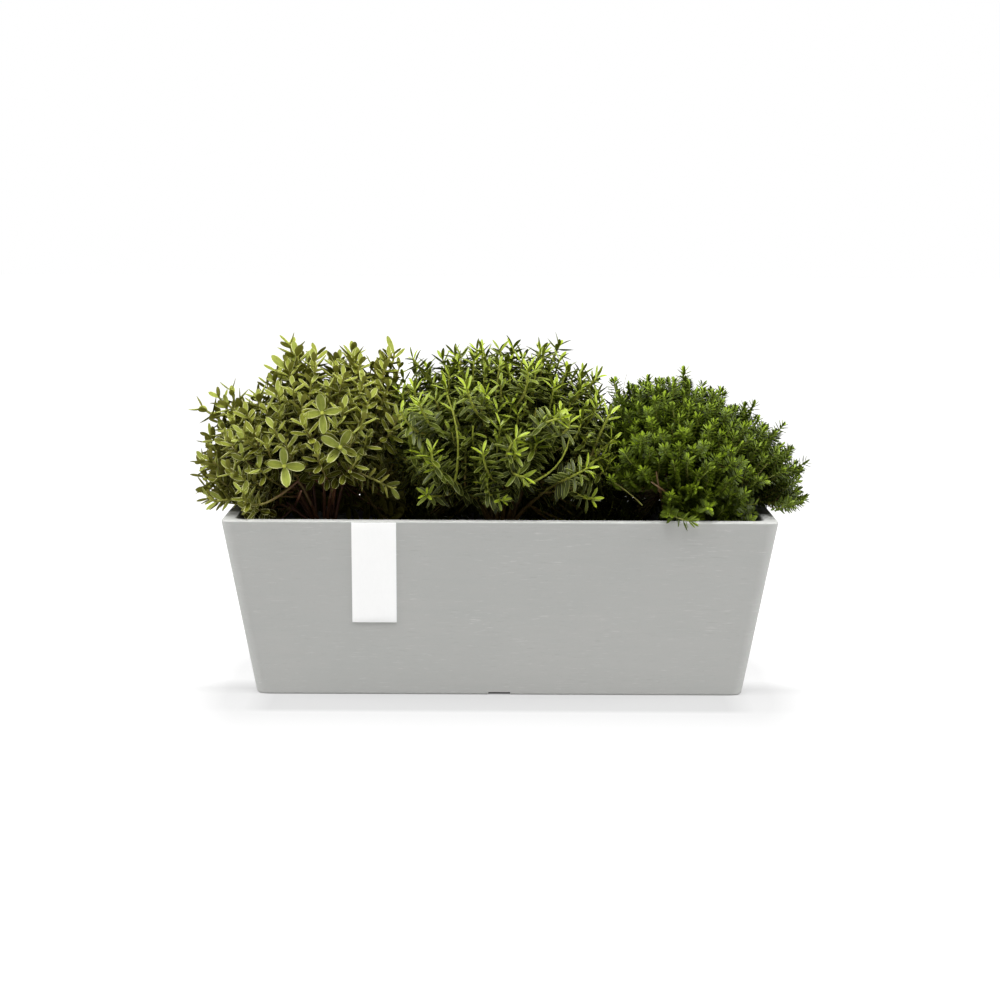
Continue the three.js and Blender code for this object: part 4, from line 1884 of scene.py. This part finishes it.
@dataclass
class Soil:
    """Potting soil in the trough, and the root balls that sit in it."""

    trough: Trough
    roots_x: Sequence[float]
    below_rim: float = 24 * MM
    mound: float = 3 * MM
    ring: float = 14 * MM
    wall_gap: float = 2 * MM
    base_gap: float = 0.6 * MM
    ball_top: float = 52 * MM
    ball_base: float = 41 * MM
    ball_depth: float = 88 * MM
    corner_radius: float = 9 * MM
    ball_bevel: float = 5 * MM
    ball_gap: float = 0.8 * MM
    pocket_over: float = 6 * MM
    crumb_depth: float = 2.2 * MM

    def _roughen(self, piece: Piece, voxel: float, size: float) -> None:
        """Remesh a block and push its skin in and out by a cloud pattern.

        Args:
            piece: The block.
            voxel: Size of the new mesh's cells.
            size: Size of the crumbs.
        """
        Bench.apply(piece, "REMESH", mode="VOXEL", voxel_size=voxel)
        clouds = bpy.data.textures.new(f"{piece.name}_crumbs", "CLOUDS")
        clouds.noise_scale = size
        clouds.noise_depth = 3
        push = {"strength": self.crumb_depth, "mid_level": 0.75, "texture_coords": "LOCAL"}
        Bench.apply(piece, "DISPLACE", texture=clouds, **push)
        Bench.smooth(piece, 60)

    def _block(self) -> Piece:
        """Model the soil block with its three pockets.

        Returns:
            The block, still smooth.
        """
        trough = self.trough
        top = trough.height - self.below_rim
        low = trough.floor_top + self.base_gap
        half = tuple(value - self.wall_gap for value in trough.inner_half(top))
        base = tuple(value - self.base_gap for value in trough.inner_half(low))
        block = Bench.box((0, 0, (low + top) / 2), (2 * half[0], 2 * half[1], top - low))
        Bench.name("potting_soil_block")
        Bench.edit()
        Bench.pick(Part.VERT, lambda v: v.co.z < (low + top) / 2)
        Bench.resize((base[0] / half[0], base[1] / half[1], 1))
        Bench.pick(Part.EDGE, lambda e: abs(e.verts[0].co.z - e.verts[1].co.z) > (top - low) / 2)
        bpy.ops.mesh.bevel(offset=self.corner_radius, segments=5)
        Bench.pick(Part.FACE, lambda f: f.normal.z > FACING)
        Bench.extrude((0, 0, self.mound))
        Bench.resize((1 - self.ring / half[0], 1 - self.ring / half[1], 1))
        Bench.clear()
        for x in self.roots_x:
            Bench.cut(block, self._ball_blank(x, self.ball_gap, self.pocket_over))
        return block

    def _ball_blank(self, x: float, grow: float, over: float) -> Piece:
        """Add the plain form of a root ball, grown by a gap and run past its top.

        Args:
            x: Place along the trough.
            grow: Gap that it is grown by.
            over: Run past its top.

        Returns:
            The blank.
        """
        top = self.trough.height - self.below_rim + self.mound
        low = top - self.ball_depth
        Bench.clear()
        bpy.ops.mesh.primitive_cone_add(
            vertices=40,
            radius1=self.ball_base + grow,
            radius2=self.ball_top + grow,
            depth=self.ball_depth + grow,
            location=(x, 0, (low - grow + top) / 2),
        )
        blank = bpy.context.object
        Bench.settle(blank)
        if over:
            Bench.edit()
            Bench.pick(Part.FACE, lambda f: f.normal.z > FACING)
            Bench.extrude((0, 0, over))
            Bench.clear()
        return blank

    def build(self, finish: Material, ball_finish: Material) -> None:
        """Model the soil and the root balls, and dress them.

        Args:
            finish: The soil's material.
            ball_finish: The root balls' material.
        """
        block = self._block()
        self._roughen(block, 2.6 * MM, 7 * MM)
        Bench.finish(block, "soil", Slot.SOIL, ["potting_soil"], [finish])
        for side, x in zip(("left", "middle", "right"), self.roots_x):
            ball = self._ball_blank(x, 0, 0)
            ball.name = f"{side}_root_mass"
            ball.data.name = ball.name
            Bench.apply(ball, "BEVEL", width=self.ball_bevel, segments=3, limit_method="ANGLE")
            self._roughen(ball, 2.4 * MM, 6 * MM)
            nodes = [f"{side}_root_ball"]
            Bench.finish(ball, f"{side}_shrub", Slot.ROOT_BALL, nodes, [ball_finish])


@dataclass(frozen=True)
class Lamp:
    """A square soft lamp that points at the planting."""

    name: str
    place: Place
    size: float
    power: float

    def build(self) -> None:
        """Hang the lamp."""
        data = bpy.data.lights.new(self.name, "AREA")
        data.shape = "SQUARE"
        data.size = self.size
        data.energy = self.power
        lamp = bpy.data.objects.new(self.name, data)
        lamp.location = self.place
        way = Vector((0, 0, 0.2)) - Vector(self.place)
        lamp.rotation_euler = way.to_track_quat("-Z", "Y").to_euler()
        bpy.context.scene.collection.objects.link(lamp)


@dataclass
class Studio:
    """Camera, floor, lamps and background."""

    pitch: float = 7.0
    roll: float = 0.24
    distance: float = 2485 * MM
    aim_height: float = 199.5 * MM
    aim_front: float = 87.5 * MM
    lens: float = 91.2
    sensor: float = 36
    lamps: tuple[Lamp, ...] = (
        Lamp("top_lamp", (0, -0.5, 2.1), 1.3, 12),
        Lamp("front_lamp", (0, -1.0, 2.2), 1.2, 46),
        Lamp("left_lamp", (-1.9, -0.3, 1.4), 1.2, 44),
        Lamp("right_lamp", (1.9, -0.3, 1.4), 1.2, 46),
    )
    sky: float = 0.18
    floor_size: float = 24
    floor_colour: Colour = (0.5, 0.5, 0.5)
    shown_colour: Colour = (0.15, 0.15, 0.15)
    # The floor's glow, dimmer near the foot as painted soft shade and white far away.
    glow: Pair = (0.61, 0.84)
    near_run: Pair = (0.1, 0.3)
    far_run: Pair = (0.3, 1.4)
    end_falloff: float = 3.5
    # Painted shadow band before and behind the foot.
    shadow_glow: float = 0.455
    shadow_run: float = 81 * MM
    shadow_edge: float = 8 * MM
    # Painted faint shadow past the foot's ends.
    painted_end_shadow: float = 0.035
    painted_end_shadow_run: float = 85 * MM
    painted_end_shadow_edge: float = 10 * MM
    painted_end_shadow_back: Pair = (-80 * MM, -50 * MM)
    # Painted light beside the trough, behind its front.
    side_glow: float = 0.2
    side_front: Pair = (-75 * MM, -30 * MM)
    side_run: Pair = (50 * MM, 200 * MM)

    def _camera(self) -> None:
        """Place the camera where the photograph was taken from."""
        data = bpy.data.cameras.new("camera")
        data.lens = self.lens
        data.sensor_width = self.sensor
        camera = bpy.data.objects.new("camera", data)
        bpy.context.scene.collection.objects.link(camera)
        tilt = math.radians(self.pitch)
        ahead = Vector((0, math.cos(tilt), -math.sin(tilt)))
        aim = Vector((0, -self.aim_front, self.aim_height))
        turn = Matrix.Rotation(math.radians(90 - self.pitch), 4, "X")
        turn = turn @ Matrix.Rotation(math.radians(self.roll), 4, "Z")
        camera.matrix_world = Matrix.Translation(aim - ahead * self.distance) @ turn
        bpy.context.scene.camera = camera

    def _world(self) -> None:
        """Set a soft grey surround that the camera and reflections see as white."""
        world = bpy.data.worlds.new("studio")
        bpy.context.scene.world = world
        world.use_nodes = True
        nodes = Nodes(world.node_tree)
        bent = nodes.math("ADD", nodes.ray("Glossy"), nodes.ray("Transmission"))
        seen = nodes.math("ADD", nodes.ray("Camera"), bent)
        background = nodes.tree.nodes["Background"]
        nodes.link(nodes.span(seen, 0, 1, (self.sky, 1)), background.inputs["Strength"])
        background.inputs["Color"].default_value = (1, 1, 1, 1)

    def _shadow(self, graph: Graph, beside: Socket, before: Socket) -> Socket:
        """Share of the painted shadow band along the foot's front and back.

        Args:
            graph: The floor's material.
            beside: How far a place lies past the foot's ends.
            before: How far it lies past the foot's front or back.

        Returns:
            1 in the band and 0 elsewhere.
        """
        low, high = self.shadow_run - self.shadow_edge, self.shadow_run + self.shadow_edge
        along = graph.span(beside, -20 * MM, 6 * MM, (1, 0))
        return graph.times(graph.span(before, low, high, (1, 0)), along)

    def _painted_end_shadow(self, graph: Graph, beside: Socket, ahead: Socket, shadow: Socket) -> Socket:
        """Painted faint shadow on the floor past the ends of the painted shadow band.

        Args:
            graph: The floor's material.
            beside: How far a place lies past the foot's ends.
            ahead: How far it lies in front of the foot.
            shadow: The dark band.

        Returns:
            How much darker the floor is.
        """
        low, high = self.shadow_run - self.painted_end_shadow_edge, self.shadow_run + self.painted_end_shadow_edge
        return graph.times(
            graph.span(beside, 0, self.painted_end_shadow_run, (self.painted_end_shadow, 0)),
            graph.span(ahead, low, high, (1, 0)),
            graph.span(ahead, *self.painted_end_shadow_back),
            graph.span(shadow, 0, 1, (1, 0)),
        )

    def _side_light(self, graph: Graph, beside: Socket, ahead: Socket) -> Socket:
        """Painted light on the floor at both sides of the trough, behind its front.

        Args:
            graph: The floor's material.
            beside: How far a place lies past the foot's ends.
            ahead: How far it lies in front of the foot.

        Returns:
            How much brighter the floor is.
        """
        return graph.times(
            graph.span(ahead, *self.side_front, (self.side_glow, 0)),
            graph.span(beside, -20 * MM, 0),
            graph.span(beside, *self.side_run, (1, 0)),
        )

    def _brightness(self, graph: Graph, foot: Pair) -> Socket:
        """How bright the camera sees the floor, from dim near the foot to white far away, with
        painted shadow round the foot.

        Args:
            graph: The floor's material.
            foot: Half length and half width of the trough's foot.

        Returns:
            The brightness, which is 0 under the foot.
        """
        axes = graph.node("ShaderNodeSeparateXYZ")
        graph.link(graph.place(), axes.inputs["Vector"])
        beside, before = (
            graph.math("SUBTRACT", graph.math("ABSOLUTE", axes.outputs[axis]), half)
            for axis, half in zip("XY", foot)
        )
        ahead = graph.math("SUBTRACT", graph.times(axes.outputs["Y"], -1), foot[1])
        wide = graph.times(graph.math("MAXIMUM", beside, 0), self.end_falloff)
        squares = (
            graph.math("POWER", wide, 2),
            graph.math("POWER", graph.math("MAXIMUM", before, 0), 2),
        )
        away = graph.math("SQRT", graph.math("ADD", *squares))
        dim, pale = self.glow
        far = graph.span(away, *self.far_run, (0, 1 - pale))
        far = graph.math("ADD", graph.span(away, *self.near_run, (dim, pale)), far)
        # Painted shadow band, painted shadow past the foot's ends and painted light beside the
        # trough.
        shadow = self._shadow(graph, beside, before)
        drop = graph.times(shadow, graph.math("SUBTRACT", far, self.shadow_glow))
        drop = graph.math("ADD", drop, self._painted_end_shadow(graph, beside, ahead, shadow))
        drop = graph.math("SUBTRACT", drop, self._side_light(graph, beside, ahead))
        open_floor = graph.span(graph.math("MAXIMUM", beside, before), -8 * MM, -2 * MM)
        return graph.times(graph.math("SUBTRACT", far, drop), open_floor)

    def _floor(self, foot: Pair) -> None:
        """Lay a wide pale floor that the camera sees as white, with a soft shadow painted into its
        glow.

        Args:
            foot: Half size of the trough's foot.
        """
        Bench.clear()
        bpy.ops.mesh.primitive_plane_add(size=self.floor_size)
        floor = Bench.name("studio_floor")
        graph = Graph("studio_floor", 0.95, self.floor_colour)
        graph.shader.inputs["Specular IOR Level"].default_value = 0.1
        seen = graph.ray("Camera")
        graph.feed("Base Color", graph.mix(seen, self.floor_colour, self.shown_colour))
        graph.shader.inputs["Emission Color"].default_value = (1, 1, 1, 1)
        graph.feed("Emission Strength", graph.times(self._brightness(graph, foot), seen))
        floor.data.materials.append(graph.material)

    def build(self, foot: Pair) -> None:
        """Set the whole studio up round the trough.

        Args:
            foot: Half size of the trough's foot.
        """
        bpy.context.scene.view_settings.view_transform = "Standard"
        self._camera()
        self._world()
        for lamp in self.lamps:
            lamp.build()
        self._floor(foot)


ROOT_SPACING = 178 * MM
LEFT_BORDER = -103 * MM
RIGHT_BORDER = 113 * MM
FAR_SIDE = 400 * MM


@dataclass
class LeftShrub(Shrub):
    """The left shrub, with broad grey-green leaves edged in cream."""

    name: str = "left"
    root_x: float = -ROOT_SPACING
    low_x: float = -FAR_SIDE
    high_x: float = LEFT_BORDER
    tips: tuple[Place, ...] = (
        (-33, 5, 160), (26, 12, 152), (64, -4, 152), (-65, 22, 106), (-90, -10, 102),
        (-118, 10, 98), (3, -74, 105), (-34, -80, 53), (21, -82, 72), (-70, -58, 74),
        (-112, -14, 48), (-98, -38, 14), (-60, 70, 80), (24, 74, 112),
    )
    faced: tuple[Pair, ...] = ((7, 0.03), (8, 0.25), (9, 0.7))
    sprigs: tuple[Sprig, ...] = (
        Sprig(9, (-108, -62, 208), (1, -0.2, -0.5), 46),
        Sprig(8, (-253, -78, 205), (-0.2, -0.4, 1), 34),
        Sprig(10, (-254, -60, 262), (-0.5, -0.4, 1), 42),
        Sprig(6, (-272, -4, 300), (-0.3, -0.2, 1), 44),
        Sprig(6, (-284, -2, 292), (-0.7, -0.2, 1), 36),
        Sprig(1, (-205, -6, 335), (0.02, -0.15, 1), 40, False, 1.3, 0.8),
        Sprig(1, (-216, -10, 322), (-0.5, -0.3, 1), 32, False, 1.35, 1.3),
        Sprig(3, (-108, 15, 336), (0.1, -0.3, 1), 40, False, 1.4, 1.57),
        Sprig(2, (-148, -8, 334), (0.1, -0.3, 1), 40, False, 1.2, 0.8),
    )
    strays: tuple[Stray, ...] = (
        Stray(9, (-168, -30, 188), (-166, -58, 216), (-144, -66, 232), 1.5, 0.1),
        Stray(8, (-206, -30, 186), (-200, -60, 196), (-196, -74, 206), 1.4, 0.05),
    )
    hollows: tuple[Place, ...] = (
        (-120, 234, 19), (-103, 224, 14), (-245, 232, 8), (-166, 228, 8), (-267, 198, 21),
        (-126, 200, 28),
    )
    habit: Habit = Habit(
        wood_share=0.34,
        crowding=1.05,
        base_radius=1.9 * MM,
        tip_radius=1.2 * MM,
        side_radius=1.1 * MM,
        sprays=((1.0, 18 * MM), (0.84, 20 * MM), (0.6, 24 * MM)),
        side_length=46 * MM,
        pair_pitch=6.4 * MM,
        low_lift=16,
        tip_lift=50,
        young_pairs=3,
        young_size=0.8,
        seek_up=0.7,
        skirt=44 * MM,
        skirt_ends=(-0.225, 0),
        bud_size=0.8,
    )
    form: LeafForm = LeafForm(
        "oval_leaf",
        length=17.5 * MM,
        width=7.6 * MM,
        rows=6,
        belly=0.56,
        blunt=2.3,
        fold=0.9 * MM,
        arch=-0.6 * MM,
        thickness=0.5 * MM,
    )
    seed: int = 11
    skin: LeafSkin = LeafSkin(
        "oval_leaf_skin",
        old=srgb(54, 49, 3),
        mature=srgb(134, 140, 45),
        young=srgb(145, 154, 70),
        rib=srgb(150, 156, 62),
        edge=srgb(222, 222, 162),
        under=srgb(130, 128, 57),
        edge_from=0.41,
        edge_share=0.9,
        roughness=0.6,
        gloss=0.06,
    )
    bark: Bark = Bark("left_twig_bark", srgb(98, 60, 36), srgb(150, 150, 58))


@dataclass
class MiddleShrub(Shrub):
    """The middle shrub, with glossy narrow leaves that arch down."""

    name: str = "middle"
    root_x: float = 0
    low_x: float = LEFT_BORDER
    high_x: float = RIGHT_BORDER
    tips: tuple[Place, ...] = (
        (-84, 0, 148), (-44, 24, 150), (-18, -6, 155), (12, 22, 157), (38, -6, 156),
        (56, 18, 160), (92, 0, 130), (-76, -62, 106), (-14, -66, 118), (50, -74, 98),
        (14, -84, 64), (-60, -80, 50), (94, -60, 58), (-46, 72, 112), (44, 74, 112),
    )
    sprigs: tuple[Sprig, ...] = (
        Sprig(8, (-97, -90, 287), (-0.4, -0.3, 1), 56),
        Sprig(8, (-80, -88, 296), (-0.35, -0.3, 1), 58),
        Sprig(9, (-33, -86, 310), (-0.25, -0.3, 1), 56),
        Sprig(9, (27, -66, 327), (-0.05, -0.2, 1), 56),
        Sprig(10, (57, -92, 280), (1, -0.3, 0.2), 58),
        Sprig(11, (17, -94, 262), (1, -0.3, 1.1), 66),
        Sprig(11, (24, -94, 223), (1, -0.35, -0.05), 36),
        Sprig(12, (-67, -94, 249), (0.02, -0.2, 1), 66),
        Sprig(11, (-17, -92, 247), (-0.1, -0.3, 1), 62),
        Sprig(10, (68, -88, 278), (0.15, -0.2, 1), 36),
        Sprig(12, (-73, -74, 203), (-0.3, -0.9, 0.3), 40, False, 0.9),
        Sprig(11, (-13, -82, 219), (0.05, -0.3, 1), 40, False, 0.95),
        Sprig(11, (2, -76, 198), (0.6, -0.9, 0.1), 34, False, 0.85),
        Sprig(13, (92, -74, 200), (0.5, -0.8, 0.2), 34, False, 0.8),
        Sprig(13, (86, -92, 232), (0.9, -0.4, 0.55), 56),
        Sprig(13, (112, -62, 257), (1, -0.2, 0.9), 44),
        Sprig(13, (108, -62, 282), (0.5, -0.2, 1), 44),
    )
    strays: tuple[Stray, ...] = (
        Stray(10, (24, -66, 212), (62, -90, 226), (68, -89, 262), 1.2, 0.8),
        Stray(9, (-46, -62, 210), (-34, -90, 258), (-52, -86, 302), 1.3, 0.8),
    )
    hollows: tuple[Place, ...] = (
        (47, 229, 20), (62, 218, 14), (-44, 222, 13), (-92, 222, 12), (0, 212, 12),
        (-58, 262, 10), (-20, 268, 9), (30, 288, 9), (92, 262, 9), (-98, 196, 20),
    )
    habit: Habit = Habit(
        tip_radius=1.3 * MM,
        side_radius=1.2 * MM,
        sprays=((1.0, 17.5 * MM), (0.92, 22 * MM), (0.82, 20 * MM), (0.64, 22 * MM)),
        crowding=1.2,
        side_length=58 * MM,
        pair_pitch=5 * MM,
        low_lift=8,
        young_pairs=4,
        young_size=0.74,
        seek_up=1.25,
        skirt=34 * MM,
        skirt_ends=(-0.2, 0.2),
    )
    front_reach: float = 79 * MM
    form: LeafForm = LeafForm(
        "lance_leaf",
        length=17.5 * MM,
        width=4.6 * MM,
        rows=5,
        belly=0.5,
        blunt=2.3,
        fold=0.9 * MM,
        arch=4.2 * MM,
        thickness=0.35 * MM,
    )
    seed: int = 23
    skin: LeafSkin = LeafSkin(
        "lance_leaf_skin",
        old=srgb(28, 29, 7),
        mature=srgb(68, 80, 5),
        young=srgb(160, 180, 36),
        rib=srgb(112, 122, 32),
        # Painted highlight along the leaf edges.
        edge=srgb(168, 176, 98),
        under=srgb(85, 92, 28),
        edge_from=0.37,
        edge_share=0.7,
        roughness=0.36,
        gloss=0.21,
    )
    bark: Bark = Bark("middle_twig_bark", srgb(112, 90, 40), srgb(150, 160, 42))


@dataclass
class RightShrub(Shrub):
    """The right shrub, a compact dome of short twigs with small leaves."""

    name: str = "right"
    root_x: float = ROOT_SPACING
    low_x: float = RIGHT_BORDER
    high_x: float = FAR_SIDE
    tries: int = 9000
    tips: tuple[Place, ...] = (
        (8, 0, 130), (-44, 8, 120), (-20, -20, 122), (35, 12, 112), (67, 0, 94),
        (97, 8, 72), (122, -2, 42), (112, -24, 10), (-42, -70, 72), (0, -72, 86),
        (44, -70, 68), (80, -60, 38), (14, -82, 34), (-12, -90, 8), (-34, 68, 84),
        (30, 72, 82),
    )
    sprigs: tuple[Sprig, ...] = (
        Sprig(14, (188, -95, 180), (1, -0.1, -0.12), 34, True, 1.4, 0.35),
        Sprig(13, (205, -88, 230), (1, -0.2, 0.9), 50, False, 1.15),
        Sprig(13, (205, -91, 194), (0.15, -1, 0.25), 28, False, 1.2),
        Sprig(9, (138, -86, 262), (0.1, -0.4, 1), 36),
        Sprig(9, (122, -84, 246), (-0.5, -0.4, 1), 40),
        Sprig(2, (114, -17, 311), (-0.1, 0, 1), 40, False, 1.15),
        Sprig(2, (149, 4, 312), (0, 0, 1), 28, False, 1.15),
        Sprig(1, (185, 0, 320), (0.05, 0, 1), 28, False, 1.15),
        Sprig(4, (223, 6, 300), (0.2, 0, 1), 28, False, 1.15),
        Sprig(5, (256, 2, 286), (0.4, 0, 1), 28, False, 1.15),
        Sprig(6, (286, 0, 266), (0.8, 0, 1), 30),
        Sprig(7, (309, -4, 229), (1, 0, 0.7), 30),
    )
    strays: tuple[Stray, ...] = (
        Stray(14, (140, -80, 194), (131, -82, 204), (112, -84, 217), 0.65, 0.45),
        Stray(2, (128, 6, 280), (126, 4, 300), (116, 0, 314), 0.4, 0.5),
        Stray(2, (126, 8, 276), (122, 6, 300), (128, 4, 318), 0.35, 0.4),
        Stray(2, (130, 2, 280), (118, 2, 296), (108, 0, 304), 0.35, 0.5),
        Stray(9, (158, -70, 206), (155, -86, 214), (153, -86, 228), 1.3, 0.0),
        Stray(9, (164, -70, 206), (160, -88, 210), (148, -88, 218), 1.1, 0.0),
    )
    hollows: tuple[Place, ...] = (
        (235, 212, 8), (164, 222, 8), (218, 236, 6), (182, 246, 6), (262, 226, 6), (266, 200, 19),
    )
    habit: Habit = Habit(
        tip_radius=0.8 * MM,
        side_radius=0.7 * MM,
        sprays=((1.0, 11.5 * MM), (0.88, 13 * MM), (0.72, 16 * MM)),
        side_length=27 * MM,
        pair_pitch=2.7 * MM,
        low_lift=20,
        young_pairs=5.5,
        young_size=0.7,
        seek_up=0.6,
        tip_run=4 * MM,
        skirt=40 * MM,
        skirt_ends=(0, 0.165),
        ragged=(0.88, 1.08),
        crowding=1.5,
    )
    form: LeafForm = LeafForm(
        "small_leaf",
        length=8.8 * MM,
        width=2.9 * MM,
        rows=3,
        belly=0.5,
        blunt=2,
        fold=0.3 * MM,
        arch=0.4 * MM,
        thickness=0.3 * MM,
    )
    seed: int = 37
    skin: LeafSkin = LeafSkin(
        "small_leaf_skin",
        old=srgb(27, 33, 5),
        mature=srgb(84, 104, 9),
        young=srgb(146, 170, 38),
        rib=srgb(104, 120, 28),
        edge=srgb(132, 146, 56),
        under=srgb(92, 104, 38),
        edge_from=0.4,
        edge_share=0.35,
        roughness=0.42,
        gloss=0.15,
    )
    bark: Bark = Bark("right_twig_bark", srgb(98, 72, 38), srgb(132, 148, 46))


def main() -> None:
    """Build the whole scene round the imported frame."""
    logging.basicConfig(level=logging.INFO, format="%(message)s")
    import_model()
    trough = Trough()
    Studio().build(trough.outer_half(0))
    trough.build(StonePlastic().build())
    rubber = BlackRubber().build()
    for side in ("left", "right"):
        Stopper(side, trough).build(rubber)
    label = CardLabel(trough)
    label.build(WhiteCard().build())
    soil = Soil(trough, (-ROOT_SPACING, 0, ROOT_SPACING))
    soil.build(
        MoistSoil("potting_mix").build(),
        MoistSoil("rooted_mix", srgb(34, 24, 16), srgb(98, 74, 52), srgb(176, 150, 112)).build(),
    )
    for shrub in (LeftShrub, MiddleShrub, RightShrub):
        shrub(trough, label).build()
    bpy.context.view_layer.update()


if __name__ == "__main__":
    main()
